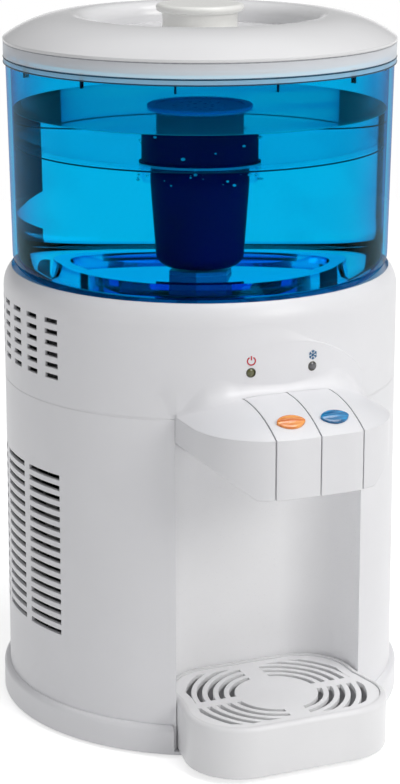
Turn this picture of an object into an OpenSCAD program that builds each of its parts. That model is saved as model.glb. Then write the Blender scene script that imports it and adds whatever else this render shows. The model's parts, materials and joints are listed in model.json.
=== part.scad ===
// Benchtop water cooler: a round white body with a glass alcove, a beak with
// two push levers, a drip tray, and a clear blue filter tank standing on top.
// Frame: +Z up, front towards -Y, origin on the counter in the middle of the footprint.

/* [Body] */
// Diameter of the body at the seam between the two housings
body_d = 250; // [244:1:264]
// Growth of the body's radius from the seam down to the base
body_draft = 1; // [0:0.25:2]
// Wall of the moulded housings
wall = 3; // [2:0.5:3.5]
// Height of the base flange's top above the counter
base_h = 20; // [16:1:24]
// How far the base flange stands out past the housing
flange_lip = 4; // [2:0.5:6]
// Radius that rounds the top of the base flange
flange_round = 3.5; // [1:0.5:5]
// Width of the base's solid ring
base_ring_w = 16; // [12:1:20]
// Thickness of the base's floor
base_floor = 2; // [1.5:0.25:3]
// Height of the rubber feet
foot_h = 2; // [1:0.5:4]
// Diameter of a rubber foot
foot_d = 18; // [12:1:24]
// Distance of the rubber feet from the body's axis
foot_place = 100; // [90:1:104]
// Height of the lower housing, from the base flange to the seam
lower_h = 195; // [190:1:215]
// Height of the upper housing, from the seam to the edge of the tank seat
upper_h = 70; // [68:1:85]
// Radius of the rounded shoulder
shoulder_r = 18; // [15:1:22]
// Depth of the tank seat below its edge
seat_depth = 4; // [2:0.5:6]
// Depth of the fine groove along the seam
seam_groove = 0.5; // [0.4:0.1:1.2]

/* [Vents] */
// Height of a slot in the upper vents
upper_slot_h = 3; // [2:0.25:4]
// Rows of the upper vents
upper_rows = 6; // [3:1:6]
// Spacing of the rows of the upper vents
upper_pitch = 6.9; // [5:0.1:7.2]
// Columns of the upper vents
upper_cols = 6; // [3:1:6]
// Height of a slot in the lower vents
lower_slot_h = 3.2; // [2:0.2:4]
// Rows of the lower vents
lower_rows = 16; // [8:1:17]
// Spacing of the rows of the lower vents
lower_pitch = 6.73; // [5:0.01:7.2]
// Columns of the lower vents
lower_cols = 3; // [1:1:3]

/* [Alcove and tray] */
// Clear width of the glass alcove
alcove_w = 124.4; // [116:0.2:128]
// Distance from the body's axis to the alcove's back wall
alcove_back = 66; // [64:0.5:70]
// Radius of the alcove's back corners
alcove_corner = 34; // [24:1:40]
// Wall of the alcove's liner
liner_wall = 2.4; // [1.6:0.2:3]
// How far the tray's front stands out from the body
tray_out = 43; // [39:1:51]
// Extra half width of the tray outside the alcove
tray_flare = 3.8; // [0:0.2:6]
// Height of the tray's rim above the counter
tray_top = 37; // [32:0.5:44]
// Wall of the tray
tray_wall = 2.6; // [2:0.2:3.4]
// Width of the tray's flat rim
tray_rim_w = 4; // [3:0.5:6]
// Width of the ledge that carries the grille
tray_ledge = 3; // [2:0.5:5]
// Thickness of the drip grille
grille_t = 3; // [2:0.5:4]
// Width of a drip slot
drip_slot = 3.4; // [2.4:0.2:4.4]
// Spacing of the rings of drip slots
drip_pitch = 6.7; // [5.4:0.1:8]
// Rings of drip slots
drip_rings = 5; // [2:1:5]

/* [Beak and levers] */
// How far the beak's front stands out from the body
beak_out = 54.4; // [51:0.2:60]
// Radius of the beak's round corners in plan
beak_corner_r = 46; // [40:1:50]
// How far the levers reach below the seam
beak_drop = 33.5; // [30:0.5:38]
// Height of the beak's front edge above the seam
beak_front_rise = 2.2; // [1:0.1:5]
// Height of the beak's domed top above its front edge
beak_top_rise = 14; // [12:0.5:18]
// Height at which a cheek leaves the alcove, below the seam
cheek_drop = 13.5; // [10:0.5:16]
// Width of the beak's flat underside
keel_w = 76; // [68:1:80]
// Thickness of the beak's skin and of the levers
skin = 3; // [2.4:0.2:3.6]
// Width of one push lever
lever_w = 27.2; // [24:0.2:30]
// Visible gap beside a lever
lever_gap = 0.8; // [0.6:0.1:1.2]
// Diameter of the levers' hinge pin
pin_d = 4; // [3:0.5:5]
// Length of the leaf-shaped insert
leaf_l = 18; // [16:0.5:22]
// Width of the leaf-shaped insert
leaf_w = 10.6; // [9:0.2:14]
// How far the insert stands proud of the lever
leaf_rise = 1; // [0.4:0.1:1.6]
// Diameter of an indicator lamp
led_d = 5; // [3:0.5:6]
// Distance of an indicator lamp from the middle
led_place = 20; // [16:0.5:26]
// Height of the indicator lamps above the seam
led_rise = 28.7; // [26:0.1:32]
// Radius of the arched panel round the lamps
arch_r = 80; // [72:1:90]
// How far the arched panel stands proud of the body
arch_rise = 0.8; // [0.4:0.1:1.5]

/* [Tank] */
// Step from the body's side in to the tank's foot
tank_inset = 6.2; // [5.4:0.2:8]
// Growth of the tank's radius from foot to rim
tank_flare = 1.9; // [0.5:0.1:2.5]
// Height of the tank up to its rim
tank_h = 135.3; // [128:0.1:150]
// Wall of the tank
tank_wall = 3; // [2:0.5:4]
// Radius of the tank's bottom corner
tank_corner = 12; // [8:1:16]
// How far the rim bead stands out
rim_bead = 1.3; // [0.8:0.1:2]
// Height of the rim bead
rim_bead_h = 3.6; // [2:0.2:5]
// Diameter of the ridge on the tank's floor
ridge_d = 130; // [110:1:150]
// Height of the ridge on the tank's floor
ridge_h = 5; // [3:0.5:7]
// Diameter of the tank's outlet spigot
spigot_d = 32; // [26:1:34]

/* [Bowl, filter and lid] */
// Height of the bowl's clear collar above the tank's rim
collar_h = 9.6; // [8:0.2:14]
// Wall of the bowl
bowl_wall = 2.5; // [2:0.25:3]
// Gap between the bowl's side and the tank's side
bowl_gap = 4; // [3:0.5:10]
// Depth of the bowl's side below the tank's rim
bowl_depth = 55; // [46:1:58]
// Fall of the bowl's floor from its side to the middle
bowl_fall = 12; // [6:1:14]
// Ribs hanging round the bowl's rim
rib_count = 12; // [6:1:16]
// Height of a rim rib
rib_h = 9; // [5:0.5:11]
// Diameter of the filter's perforated cap
cap_d = 66; // [60:1:72]
// Diameter of the filter's head
head_d = 55; // [50:1:58]
// Height of the filter's head
head_h = 28.5; // [24:0.5:34]
// Diameter of the filter's body just under the bowl
filter_d = 46.6; // [40:0.2:48]
// Taper of the filter's radius towards its bottom
filter_taper = 2.5; // [0:0.25:5]
// Room between the filter's bottom and the tank's outlet
filter_room = 1.3; // [1:0.1:12]
// Radius of the filter's bottom corner
filter_round = 9; // [5:1:14]
// Radius of the lid's raised ring
crest_r = 80; // [70:1:90]
// Height of the lid's raised ring above the collar
crest_h = 15.4; // [13:0.2:20]
// Radius of the crest's inner side
crest_round = 9; // [6:0.5:10]
// Wall of the lid
lid_wall = 2.5; // [2:0.25:3]
// Depth of the lid's skirt inside the collar
skirt_h = 5; // [3:0.5:6.5]
// Diameter of the knob's top plate
knob_d = 54.6; // [46:0.2:64]
// Diameter of the knob's neck
neck_d = 46.6; // [38:0.2:50]
// Height of the knob's top above the lid's raised ring
knob_rise = 6; // [3:0.5:10]

/* [Cooling] */
// Diameter of the cold tank
cold_d = 72; // [64:1:76]
// Height of the cold tank
cold_h = 95; // [85:1:100]
// Thickness of the foam round the cold tank
foam_t = 18; // [14:1:18]
// Height of the cold tank's foam above the base's floor
foam_lift = 58; // [50:1:62]
// Side of the thermoelectric module
module_w = 40; // [30:1:44]
// Side of the heat sink
sink_w = 90; // [80:1:92]
// Thickness of a heat sink fin
fin_t = 2; // [1.2:0.2:3]
// Fins of the heat sink
fin_count = 11; // [6:1:13]
// Side of the fan's frame
fan_w = 92; // [80:1:92]
// Depth of the fan's frame
fan_t = 25; // [20:1:26]
// Blades of the fan
blade_count = 7; // [5:1:9]
// Outer diameter of the water hoses
hose_d = 11; // [9:0.5:12]
// Bore of the water hoses
hose_bore = 7; // [5:0.5:8]

/* [Hidden] */
$fn = 96;

// Small room between pieces, and an overshoot for cuts
fit = 0.3;
run_fit = 0.05;
seat_side = 0.7;
eps = 0.5;
far = 400;
// Round corners swell by this much, so that they cut into the straight sides
blend = 0.01;

// Heights of the main levels
body_r = body_d / 2;
foot_r = body_r + body_draft;
base_r = foot_r + flange_lip;
floor_z = foot_h + base_floor;
seam_z = base_h + lower_h;
seat_edge_z = seam_z + upper_h;
seat_z = seat_edge_z - seat_depth;
tank_z = seat_z;
tank_rim_z = tank_z + tank_h;
collar_z = tank_rim_z + collar_h;
crest_z = collar_z + crest_h;

// The footprint's middle lies between the beak's front and the base's back
beak_reach = body_r + beak_out;
tray_reach = body_r + tray_out;
front_reach = max(beak_reach, tray_reach);
axis_y = (front_reach - base_r) / 2;

module placed() {
  translate([0, axis_y, 0]) children();
}

module both_sides() {
  children();
  mirror([1, 0, 0]) children();
}

module tube(d, bore, h) {
  difference() {
    cylinder(d = d, h = h);
    translate([0, 0, -eps]) cylinder(d = bore, h = h + 2 * eps);
  }
}

// A bar along Y from y0 to y1, round, centred on x and z
module bar_y(d, x, z, y0, y1) {
  translate([x, y1, z]) rotate([90, 0, 0]) cylinder(d = d, h = y1 - y0);
}

// A bar along X from x0 to x1, round, centred on y and z
module bar_x(d, y, z, x0, x1) {
  translate([x0, y, z]) rotate([0, 90, 0]) cylinder(d = d, h = x1 - x0);
}

// A block from its lowest to its highest corner
module block(low, high) {
  translate(low) cube(high - low);
}

// Lid: a domed ring round a dish, with a skirt inside the bowl's collar
lid_over = 0.2;
lid_r = body_r - tank_inset + tank_flare + rim_bead + lid_over;
lid_edge = 1.6;
dome_r = (pow(lid_r - crest_r, 2) + pow(crest_h - lid_edge, 2)) / (2 * (crest_h - lid_edge));
dish_z = collar_z + lid_wall;
collar_in_r = lid_r - lid_over - bowl_wall;

// Half section of the lid's ring, set in by t
module lid_section(t) {
  intersection() {
    translate([crest_r, crest_z - dome_r]) circle(dome_r - t, $fn = 360);
    translate([crest_r, collar_z]) square([lid_r - t - crest_r, crest_h]);
  }
  intersection() {
    translate([crest_r, crest_z - crest_round]) circle(crest_round - t);
    translate([0, collar_z]) square([crest_r + eps, crest_h]);
  }
  translate([crest_r - crest_round + t, collar_z])
    square([crest_round - t + eps, crest_h - crest_round]);
}

module lid() {
  color("white") rotate_extrude($fn = 180) {
    difference() {
      lid_section(0);
      translate([0, -eps]) intersection() {
        lid_section(lid_wall);
        translate([0, collar_z]) square([lid_r - 2 * lid_wall, crest_h]);
      }
    }
    translate([0, collar_z]) square([crest_r - crest_round + lid_wall, lid_wall]);
    translate([collar_in_r - fit - lid_wall, collar_z - skirt_h]) square([lid_wall, skirt_h + lid_edge]);
  }
}

// Knob: a waisted grip screwed to the dish
knob_plate = 5;
knob_foot = 2;
knob_z = crest_z + knob_rise;

module lid_knob() {
  color("ivory") rotate_extrude() {
    translate([0, dish_z]) square([neck_d / 2 + knob_foot, knob_foot]);
    translate([0, dish_z]) square([neck_d / 2, knob_z - dish_z - knob_plate / 2]);
    translate([0, knob_z - knob_plate]) square([(knob_d - knob_plate) / 2, knob_plate]);
    intersection() {
      translate([(knob_d - knob_plate) / 2, knob_z - knob_plate / 2]) circle(d = knob_plate, $fn = 48);
      translate([0, knob_z - knob_plate]) square([knob_d, knob_plate]);
    }
  }
}

// Bowl: hangs in the tank by its flange, with a collar for the lid and a dished floor
tank_r = body_r - tank_inset;
tank_top_r = tank_r + tank_flare;
bowl_r = tank_top_r - tank_wall - tank_flare - bowl_gap;
bowl_edge_z = tank_rim_z - bowl_depth;
bowl_mid_z = bowl_edge_z - bowl_fall;
bowl_land_r = cap_d / 2 + 2;
bowl_corner = 8;
filter_side = 0.4;
rib_t = 1.6;
bowl_hole_r = filter_d / 2 + filter_side;

module bowl_floor(top) {
  polygon([
    [bowl_hole_r, bowl_mid_z + top],
    [bowl_land_r, bowl_mid_z + top],
    [bowl_r - bowl_corner, bowl_edge_z + top],
    [bowl_r - bowl_corner, far],
    [bowl_hole_r, far]
  ]);
}

module bowl_section(t) {
  bowl_floor(t);
  translate([bowl_r - bowl_corner, bowl_edge_z + bowl_corner]) circle(bowl_corner - t, $fn = 48);
  translate([bowl_hole_r, bowl_edge_z + bowl_corner]) square([bowl_r - t - bowl_hole_r, far]);
}

module upper_bowl() {
  color("deepskyblue", 0.5) {
    rotate_extrude($fn = 180) {
      intersection() {
        difference() {
          bowl_section(0);
          bowl_section(bowl_wall);
          square([bowl_hole_r, far]);
        }
        square([lid_r, tank_rim_z + bowl_wall]);
      }
      translate([bowl_r - bowl_wall, tank_rim_z]) square([lid_r - lid_over - bowl_r + bowl_wall, bowl_wall]);
      translate([collar_in_r, tank_rim_z]) square([bowl_wall, collar_h]);
    }
    for (i = [0 : rib_count - 1]) rotate([0, 0, i * 360 / rib_count])
      translate([-rib_t / 2, -bowl_r - bowl_gap + fit, tank_rim_z - rib_h])
        cube([rib_t, bowl_gap - fit + bowl_wall / 2, rib_h + bowl_wall / 2]);
  }
}

// Filter: a tapered cartridge hung in the bowl's floor, with a perforated cap
seal_t = 1.5;
filter_lip = 1.2;
filter_z = bowl_mid_z + bowl_wall + seal_t;
head_top_z = filter_z + head_h;
nut_h = 7;
nut_d = filter_d + 8;
nut_lug = 5;
thread_run = 2;
cap_t = 3;
cap_seat = 3;
cap_step = 4;
outlet_nut = 3;
filter_bottom_z = tank_z + tank_wall + outlet_nut + filter_room;

module filter_section() {
  bottom_r = filter_d / 2 - filter_taper;
  polygon([
    [0, filter_bottom_z],
    [bottom_r - filter_round, filter_bottom_z],
    [bottom_r, filter_bottom_z + filter_round],
    [filter_d / 2, bowl_mid_z - nut_h - thread_run],
    [filter_d / 2, filter_z],
    [0, filter_z]
  ]);
  translate([bottom_r - filter_round, filter_bottom_z + filter_round]) circle(filter_round, $fn = 48);
  translate([0, filter_z]) square([head_d / 2, head_h]);
  translate([0, filter_z]) square([head_d / 2 + filter_lip, filter_lip]);
}

module filter_cartridge() {
  color("navy") difference() {
    rotate_extrude() intersection() {
      filter_section();
      square([far, far]);
    }
    translate([0, 0, head_top_z - cap_step]) cylinder(d = head_d - 2 * cap_seat, h = cap_step + eps);
  }
}

// A ring of count holes through the cap
module cap_holes(count, place) {
  cap_hole = 3;
  for (i = [0 : count - 1]) rotate([0, 0, i * 360 / count])
    translate([place, 0, head_top_z - far / 2]) cylinder(d = cap_hole, h = far, $fn = 24);
}

module filter_cap() {
  cap_rim = 5;
  color("midnightblue") difference() {
    union() {
      translate([0, 0, head_top_z]) cylinder(d = cap_d, h = cap_t);
      translate([0, 0, head_top_z - cap_seat])
        cylinder(d = head_d - 2 * cap_seat - 2 * fit, h = cap_seat + eps);
    }
    translate([0, 0, head_top_z + cap_t - 1]) cylinder(d = cap_d - 2 * cap_rim, h = cap_t);
    cap_holes(16, cap_d / 4);
    cap_holes(8, cap_d / 8);
  }
}

module filter_seal() {
  color("gray") translate([0, 0, bowl_mid_z + bowl_wall])
    tube(head_d + 2 * filter_lip, filter_d + 2 * filter_side, seal_t);
}

module filter_nut() {
  color("deepskyblue") translate([0, 0, bowl_mid_z - nut_h]) difference() {
    union() {
      cylinder(d = nut_d, h = nut_h);
      for (i = [0 : 7]) rotate([0, 0, i * 45])
        translate([nut_d / 2 - nut_lug / 2, -nut_lug / 2, 0]) cube([nut_lug - 1, nut_lug, nut_h]);
    }
    translate([0, 0, -eps]) cylinder(d = filter_d + 2 * run_fit, h = nut_h + 2 * eps);
  }
}

// Tank: a clear tapered jar with a ridged floor, a rim bead and an outlet
ridge_w = 8;
ridge_groove = 4;
module tank_section(t) {
  polygon([
    [0, tank_z + t],
    [tank_r - tank_corner, tank_z + t],
    [tank_r - t, tank_z + tank_corner],
    [tank_top_r - t, tank_rim_z],
    [0, tank_rim_z]
  ]);
  translate([tank_r - tank_corner, tank_z + tank_corner]) circle(tank_corner - t, $fn = 64);
}

module water_tank() {
  color("deepskyblue", 0.5) difference() {
    rotate_extrude($fn = 180) {
      difference() {
        tank_section(0);
        tank_section(tank_wall);
        translate([0, tank_rim_z - eps]) square([tank_top_r - tank_wall, 2 * eps]);
      }
      translate([tank_top_r - tank_wall, tank_rim_z - rim_bead_h]) square([tank_wall + rim_bead, rim_bead_h]);
      translate([ridge_d / 2 - ridge_w / 2, tank_z]) square([ridge_w, tank_wall + ridge_h]);
    }
    translate([0, 0, tank_z - eps]) tube(ridge_d + ridge_groove, ridge_d - ridge_groove, ridge_h + eps);
    translate([0, 0, tank_z - eps]) cylinder(d = spigot_d - 2 * nut_step, h = tank_wall + 2 * eps);
  }
}

// Outlet: a spigot clamped through the tank's floor that plugs into the receiver
nut_step = 5;
spigot_l = 20;
spigot_bore = 14;
spigot_z = tank_z - spigot_l;
seal_place = 6;
seal_w = 2.4;
seal_deep = 1.5;
seal_proud = 0.3;

module tank_outlet() {
  color("whitesmoke") difference() {
    union() {
      translate([0, 0, spigot_z]) cylinder(d = spigot_d, h = spigot_l);
      translate([0, 0, tank_z]) cylinder(d = spigot_d - 2 * nut_step - 2 * run_fit, h = tank_wall);
      translate([0, 0, tank_z + tank_wall]) cylinder(d = spigot_d, h = outlet_nut, $fn = 6);
    }
    translate([0, 0, spigot_z - eps]) cylinder(d = spigot_bore, h = far);
    translate([0, 0, spigot_z + seal_place - seal_w / 2])
      tube(spigot_d + 2 * eps, spigot_d - 2 * seal_deep, seal_w);
  }
}

module outlet_seal() {
  color("dimgray") translate([0, 0, spigot_z + seal_place - seal_w / 2 + run_fit])
    tube(spigot_d + 2 * seal_proud, spigot_d - 2 * seal_deep + 2 * run_fit, seal_w - 2 * run_fit);
}

// Upper housing: the shouldered shell with the tank's seat
shoulder_x = body_r - shoulder_r;
seat_r = tank_r + seat_side;
shoulder_z = seat_edge_z - sqrt(pow(shoulder_r, 2) - pow(seat_r - shoulder_x, 2));
receiver_d = 48;
vent_start = 66.4;
upper_vent_drop = 18.5;
upper_step_a = 9.2;
upper_slot_a = 5.3;
lower_vent_drop = 46.5;
lower_step_a = 17.7;
lower_slot_a = 14.6;

module housing_section(t) {
  translate([0, seam_z]) square([body_r - t, shoulder_z - seam_z]);
  translate([shoulder_x, shoulder_z]) circle(shoulder_r - t);
  translate([0, seam_z]) square([shoulder_x, shoulder_z + shoulder_r - t - seam_z]);
}

// Rows and columns of slots round one side, from the angle start towards the back
module vents(start, cols, step, slot_a, rows, pitch, slot_h, low_z) {
  slot_w = 2 * body_r * sin(slot_a / 2);
  for (c = [0 : cols - 1], k = [0 : rows - 1])
    rotate([0, 0, -(start + slot_a / 2 + c * step)])
      translate([-slot_w / 2, -foot_r - 2, low_z + k * pitch - slot_h / 2])
        cube([slot_w, 3 * wall + 4, slot_h]);
}

module upper_housing() {
  top_row_z = seat_edge_z - upper_vent_drop;
  low_row_z = top_row_z - (upper_rows - 1) * upper_pitch;
  color("white") both_sides() bar_y(board_boss, led_place / 2, led_z, -body_r + wall / 2, board_y);
  color("white") difference() {
    rotate_extrude($fn = 180) difference() {
      intersection() {
        housing_section(0);
        translate([0, seam_z]) square([body_r, upper_h + seat_depth]);
      }
      intersection() {
        housing_section(wall);
        square([body_r, seat_z - wall]);
      }
      translate([0, seam_z - eps]) square([body_r - wall, 2 * eps]);
      translate([0, seat_z]) square([seat_r, far]);
      translate([0, seat_z - wall - eps]) square([receiver_d / 2 + fit, far]);
      translate([body_r - seam_groove, seam_z - eps]) square([far, eps + seam_groove]);
    }
    both_sides()
      vents(vent_start, upper_cols, upper_step_a, upper_slot_a,
            upper_rows, upper_pitch, upper_slot_h, low_row_z);
    both_sides() led_hole();
  }
}

// Lamps shine through the panel and the housing behind it
led_z = seam_z + led_rise;
led_flange_d = led_d + 1;
led_flange_t = 1.5;
led_side = 0.2;
led_dome = 0.8;
led_r = (pow(led_d / 2, 2) + pow(led_dome, 2)) / (2 * led_dome);
led_face_y = -sqrt(pow(body_r + arch_rise, 2) - pow(led_place, 2));
led_flange_y = -sqrt(pow(body_r - wall, 2) - pow(led_place + led_flange_d / 2, 2));

module led_hole() {
  bar_y(led_d + 2 * led_side, led_place, led_z, -far, led_flange_y);
}

module led(side) {
  translate([side * led_place, 0, led_z]) {
    bar_y(led_d, 0, 0, led_face_y, led_flange_y);
    bar_y(led_flange_d, 0, 0, led_flange_y, led_flange_y + led_flange_t);
    intersection() {
      bar_y(led_d, 0, 0, led_face_y - led_dome, led_face_y + eps);
      translate([0, led_face_y - led_dome + led_r, 0]) sphere(r = led_r, $fn = 48);
    }
  }
}

module power_led() {
  color("olive") led(-1);
}

module cold_led() {
  color("dimgray") led(1);
}

// Board behind the lamps, on two bosses of the housing
board_t = 1.6;
board_side = 9;
board_h = 24;
board_boss = 5;
board_chip = 16;
board_y = led_flange_y + led_flange_t;

module control_board() {
  color("darkgreen") {
    block([-led_place - board_side, board_y, led_z - board_h / 2],
          [led_place + board_side, board_y + board_t, led_z + board_h / 2]);
    block([-board_chip / 2, board_y + board_t, led_z - board_chip / 2],
          [board_chip / 2, board_y + board_t + board_side, led_z]);
  }
}

// Alcove: plan of the clear space, set in by t
alcove_half = alcove_w / 2;
corner_x = alcove_half - alcove_corner;
corner_y = -alcove_back - alcove_corner;

module alcove_sides(t) {
  side = alcove_half - t;
  back = -alcove_back - t;
  polygon([
    [-side, -far], [side, -far], [side, corner_y], [corner_x, back], [-corner_x, back], [-side, corner_y]
  ]);
}

module alcove_plan(t) {
  alcove_sides(t);
  both_sides() translate([corner_x, corner_y]) circle(alcove_corner - t + blend);
}

// The alcove's plan raised from z0 to z1
module alcove_block(t, z0, z1) {
  translate([0, 0, z0]) {
    linear_extrude(z1 - z0) alcove_sides(t);
    both_sides() translate([corner_x, corner_y, 0]) cylinder(r = alcove_corner - t + blend, h = z1 - z0);
  }
}

// Outside of the body from the base's floor up, grown by g
module body_core(g) {
  rotate_extrude($fn = 180) polygon([
    [0, foot_h], [foot_r + g, foot_h], [foot_r + g, base_h], [body_r + g, seam_z], [body_r + g, far], [0, far]
  ]);
}

hose_window_w = 48;
tap_rise = 16;
tap_z = seam_z - beak_drop + tap_rise;

// Opening for the two hoses in the alcove's back
module hose_window() {
  block([-hose_window_w / 2, -alcove_back - skin - 2 * eps, tap_z - hose_d],
        [hose_window_w / 2, -alcove_back + liner_wall + eps, tap_z + hose_d]);
}

module alcove_liner() {
  color("whitesmoke") intersection() {
    difference() {
      alcove_block(-liner_wall, floor_z, seam_z);
      alcove_block(0, floor_z - eps, seam_z + eps);
      hose_window();
    }
    body_core(0);
  }
}

// Lower housing: the tall shell with the alcove cut out of its front
screw_place = foot_r - 8;
screw_d = 4;
screw_head = 3;
screw_sink = 1;
boss_d = 12;
boss_h = 18;
boss_deep = 16;
screw_end = 14;
rear_z = 52;

// Radius of the lower housing's outside at the height z
function outer_r(z) = foot_r - body_draft * (z - base_h) / lower_h;

module screw_spots() {
  for (a = [45 : 90 : 315]) rotate([0, 0, a]) translate([screw_place, 0, 0]) children();
}

module lower_housing() {
  top_row_z = seam_z - lower_vent_drop;
  low_row_z = top_row_z - (lower_rows - 1) * lower_pitch;
  color("white") difference() {
    union() {
      rotate_extrude($fn = 180) polygon([
        [foot_r - wall, base_h], [foot_r, base_h],
        [body_r, seam_z - seam_groove], [body_r - seam_groove, seam_z - seam_groove],
        [body_r - seam_groove, seam_z], [body_r - wall, seam_z]
      ]);
      intersection() {
        translate([0, 0, base_h]) screw_spots() cylinder(d = boss_d, h = boss_h);
        body_core(-wall / 2);
      }
    }
    alcove_block(-liner_wall - fit / 2, base_h - eps, seam_z + eps);
    both_sides()
      vents(vent_start, lower_cols, lower_step_a, lower_slot_a,
            lower_rows, lower_pitch, lower_slot_h, low_row_z);
    translate([0, 0, base_h - eps]) screw_spots() cylinder(d = screw_d + 2 * run_fit, h = boss_deep + eps);
    rear_block(inlet_w + 2 * fit, inlet_h + 2 * fit, rear_z, 0, far);
    rear_block(rocker_w + 2 * bezel_wall + 2 * fit, rocker_h + 2 * bezel_wall + 2 * fit, switch_z, 0, far);
    bar_y(drain_d + 2 * fit, drain_x, drain_z, 0, far);
  }
}

// Base: the flanged ring and floor, notched for the tray
module base() {
  color("white") difference() {
    union() {
      rotate_extrude($fn = 180) {
        translate([0, foot_h]) square([base_r - flange_round, base_floor]);
        translate([foot_r - base_ring_w, foot_h])
          square([base_ring_w + flange_lip - flange_round, base_h - foot_h]);
        translate([foot_r, foot_h]) square([flange_lip, base_h - foot_h - flange_round]);
        translate([base_r - flange_round, base_h - flange_round]) circle(flange_round, $fn = 48);
      }
      post_spots() translate([0, 0, floor_z]) cylinder(d = post_d, h = foam_lift);
    }
    alcove_block(-liner_wall - fit / 2, floor_z, far);
    tray_block(-tray_gap, floor_z, far);
    translate([0, 0, foot_h - eps]) screw_spots() {
      cylinder(d = screw_d + 4 * run_fit, h = far);
      cylinder(d = 2 * screw_d + 2 * fit, h = screw_sink + screw_head + eps);
    }
  }
}

module rubber_feet() {
  color("dimgray") for (a = [45 : 90 : 315]) rotate([0, 0, a])
    translate([foot_place, 0, 0]) cylinder(d = foot_d, h = foot_h);
}

module base_screws() {
  color("silver") screw_spots() {
    translate([0, 0, foot_h + screw_sink]) cylinder(d = 2 * screw_d, h = screw_head);
    translate([0, 0, foot_h + screw_sink])
      cylinder(d = screw_d, h = base_h - foot_h - screw_sink + screw_end);
  }
}

// Tray: a deep dish with round corners, narrower where it enters the alcove
tray_gap = 0.5;
tray_corner = alcove_corner - tray_gap;
tray_front_x = corner_x + tray_flare;
tray_front_y = -tray_reach + tray_corner;
flare_y = -sqrt(pow(foot_r, 2) - pow(alcove_half, 2)) - 2 * tray_gap;
tray_z = floor_z;
tray_floor = 2.2;
grille_drop = 1;
grille_z = tray_top - grille_drop - grille_t;

// Straight in the alcove, then flaring to the front corners, set in by t
module tray_sides(t) {
  r = tray_corner - t;
  kink = [corner_x + r, flare_y];
  way = [tray_front_x, tray_front_y] - kink;
  run = sqrt(max(0, way * way - r * r));
  turn = atan2(way[1], way[0]) + asin(min(1, r / norm(way)));
  flank = kink + run * [cos(turn), sin(turn)];
  right = [[corner_x, corner_y + r], [corner_x + r, corner_y], kink, flank, [tray_front_x, tray_front_y - r]];
  left = [for (i = [len(right) - 1 : -1 : 0]) [-right[i][0], right[i][1]]];
  polygon(concat(right, left));
}

// The tray's plan raised from z0 to z1
module tray_block(t, z0, z1) {
  r = tray_corner - t + blend;
  translate([0, 0, z0]) {
    linear_extrude(z1 - z0) tray_sides(t);
    both_sides() {
      translate([corner_x, corner_y, 0]) cylinder(r = r, h = z1 - z0);
      translate([tray_front_x, tray_front_y, 0]) cylinder(r = r, h = z1 - z0);
    }
  }
}

module drip_tray() {
  color("white") difference() {
    tray_block(0, tray_z, tray_top);
    tray_block(tray_wall, tray_z + tray_floor, grille_z - tray_ledge);
    tray_block(tray_rim_w + tray_ledge, grille_z - tray_ledge - eps, far);
    tray_block(tray_rim_w, grille_z, far);
  }
}

// Grille: rings of slots round the middle of the glass, in four sectors
drip_y = -121;
drip_web = 8;
drip_bridge = 12.8;
drip_border = 6;

module drip_slots() {
  outer = (alcove_half + tray_flare) - tray_rim_w - drip_border;
  translate([0, drip_y]) for (k = [0 : drip_rings - 1]) difference() {
    circle(outer - k * drip_pitch);
    circle(outer - k * drip_pitch - drip_slot);
    square([far, drip_web], center = true);
    square([drip_bridge, far], center = true);
  }
}

module drip_grille() {
  color("white") difference() {
    tray_block(tray_rim_w + fit, grille_z, grille_z + grille_t);
    intersection() {
      translate([0, 0, grille_z - eps]) linear_extrude(grille_t + 2 * eps) drip_slots();
      tray_block(tray_rim_w + drip_border, grille_z - eps, grille_z + grille_t + eps);
    }
  }
}

// Beak: a block with two round corners and a top that domes up from its edge to a flat back
beak_half = alcove_half - fit / 2;
cheek_x = beak_half - beak_corner_r;
cheek_y = beak_corner_r - beak_reach;
beak_bottom_z = seam_z - beak_drop;
beak_front_z = seam_z + beak_front_rise;
beak_back_z = beak_front_z + beak_top_rise;
cheek_corner_z = seam_z - cheek_drop;
top_r = (pow(beak_corner_r, 2) + pow(beak_top_rise, 2)) / (2 * beak_top_rise);
top_cz = beak_back_z - top_r;
low_z = beak_bottom_z - 2 * eps;

// Height and slope of the beak's top at the distance y from the body's axis
function top_z(y) = top_cz + sqrt(pow(top_r, 2) - pow(min(y - cheek_y, 0), 2));
function top_slope(y) = -atan2(min(y - cheek_y, 0), top_z(y) - top_cz);

// One quarter of the beak round a corner, set in by t
module beak_corner(t) {
  intersection() {
    translate([cheek_x, cheek_y, 0]) rotate_extrude($fn = 180) intersection() {
      translate([0, top_cz]) circle(top_r - t, $fn = 360);
      translate([0, low_z]) square([beak_corner_r - t, far]);
    }
    block([cheek_x, -far, low_z], [far, cheek_y, far]);
  }
}

// The stretch between the corners, set in by t
module beak_bar(t) {
  intersection() {
    bar_x(2 * (top_r - t), cheek_y, top_cz, -cheek_x, cheek_x, $fn = 360);
    block([-cheek_x, t - beak_reach, low_z], [cheek_x, cheek_y, far]);
  }
}

// The stretch behind the corners that goes into the alcove, set in by t
module beak_rear(t) {
  intersection() {
    alcove_block(fit / 2 + t, low_z, far);
    union() {
      both_sides() intersection() {
        bar_y(2 * (top_r - t), cheek_x, top_cz, cheek_y, 0, $fn = 360);
        block([cheek_x, cheek_y, low_z], [far, 0, far]);
      }
      block([-cheek_x, cheek_y, low_z], [cheek_x, 0, beak_back_z - t]);
    }
  }
}

module beak_form(t) {
  both_sides() beak_corner(t);
  beak_bar(t);
  beak_rear(t);
}

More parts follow.
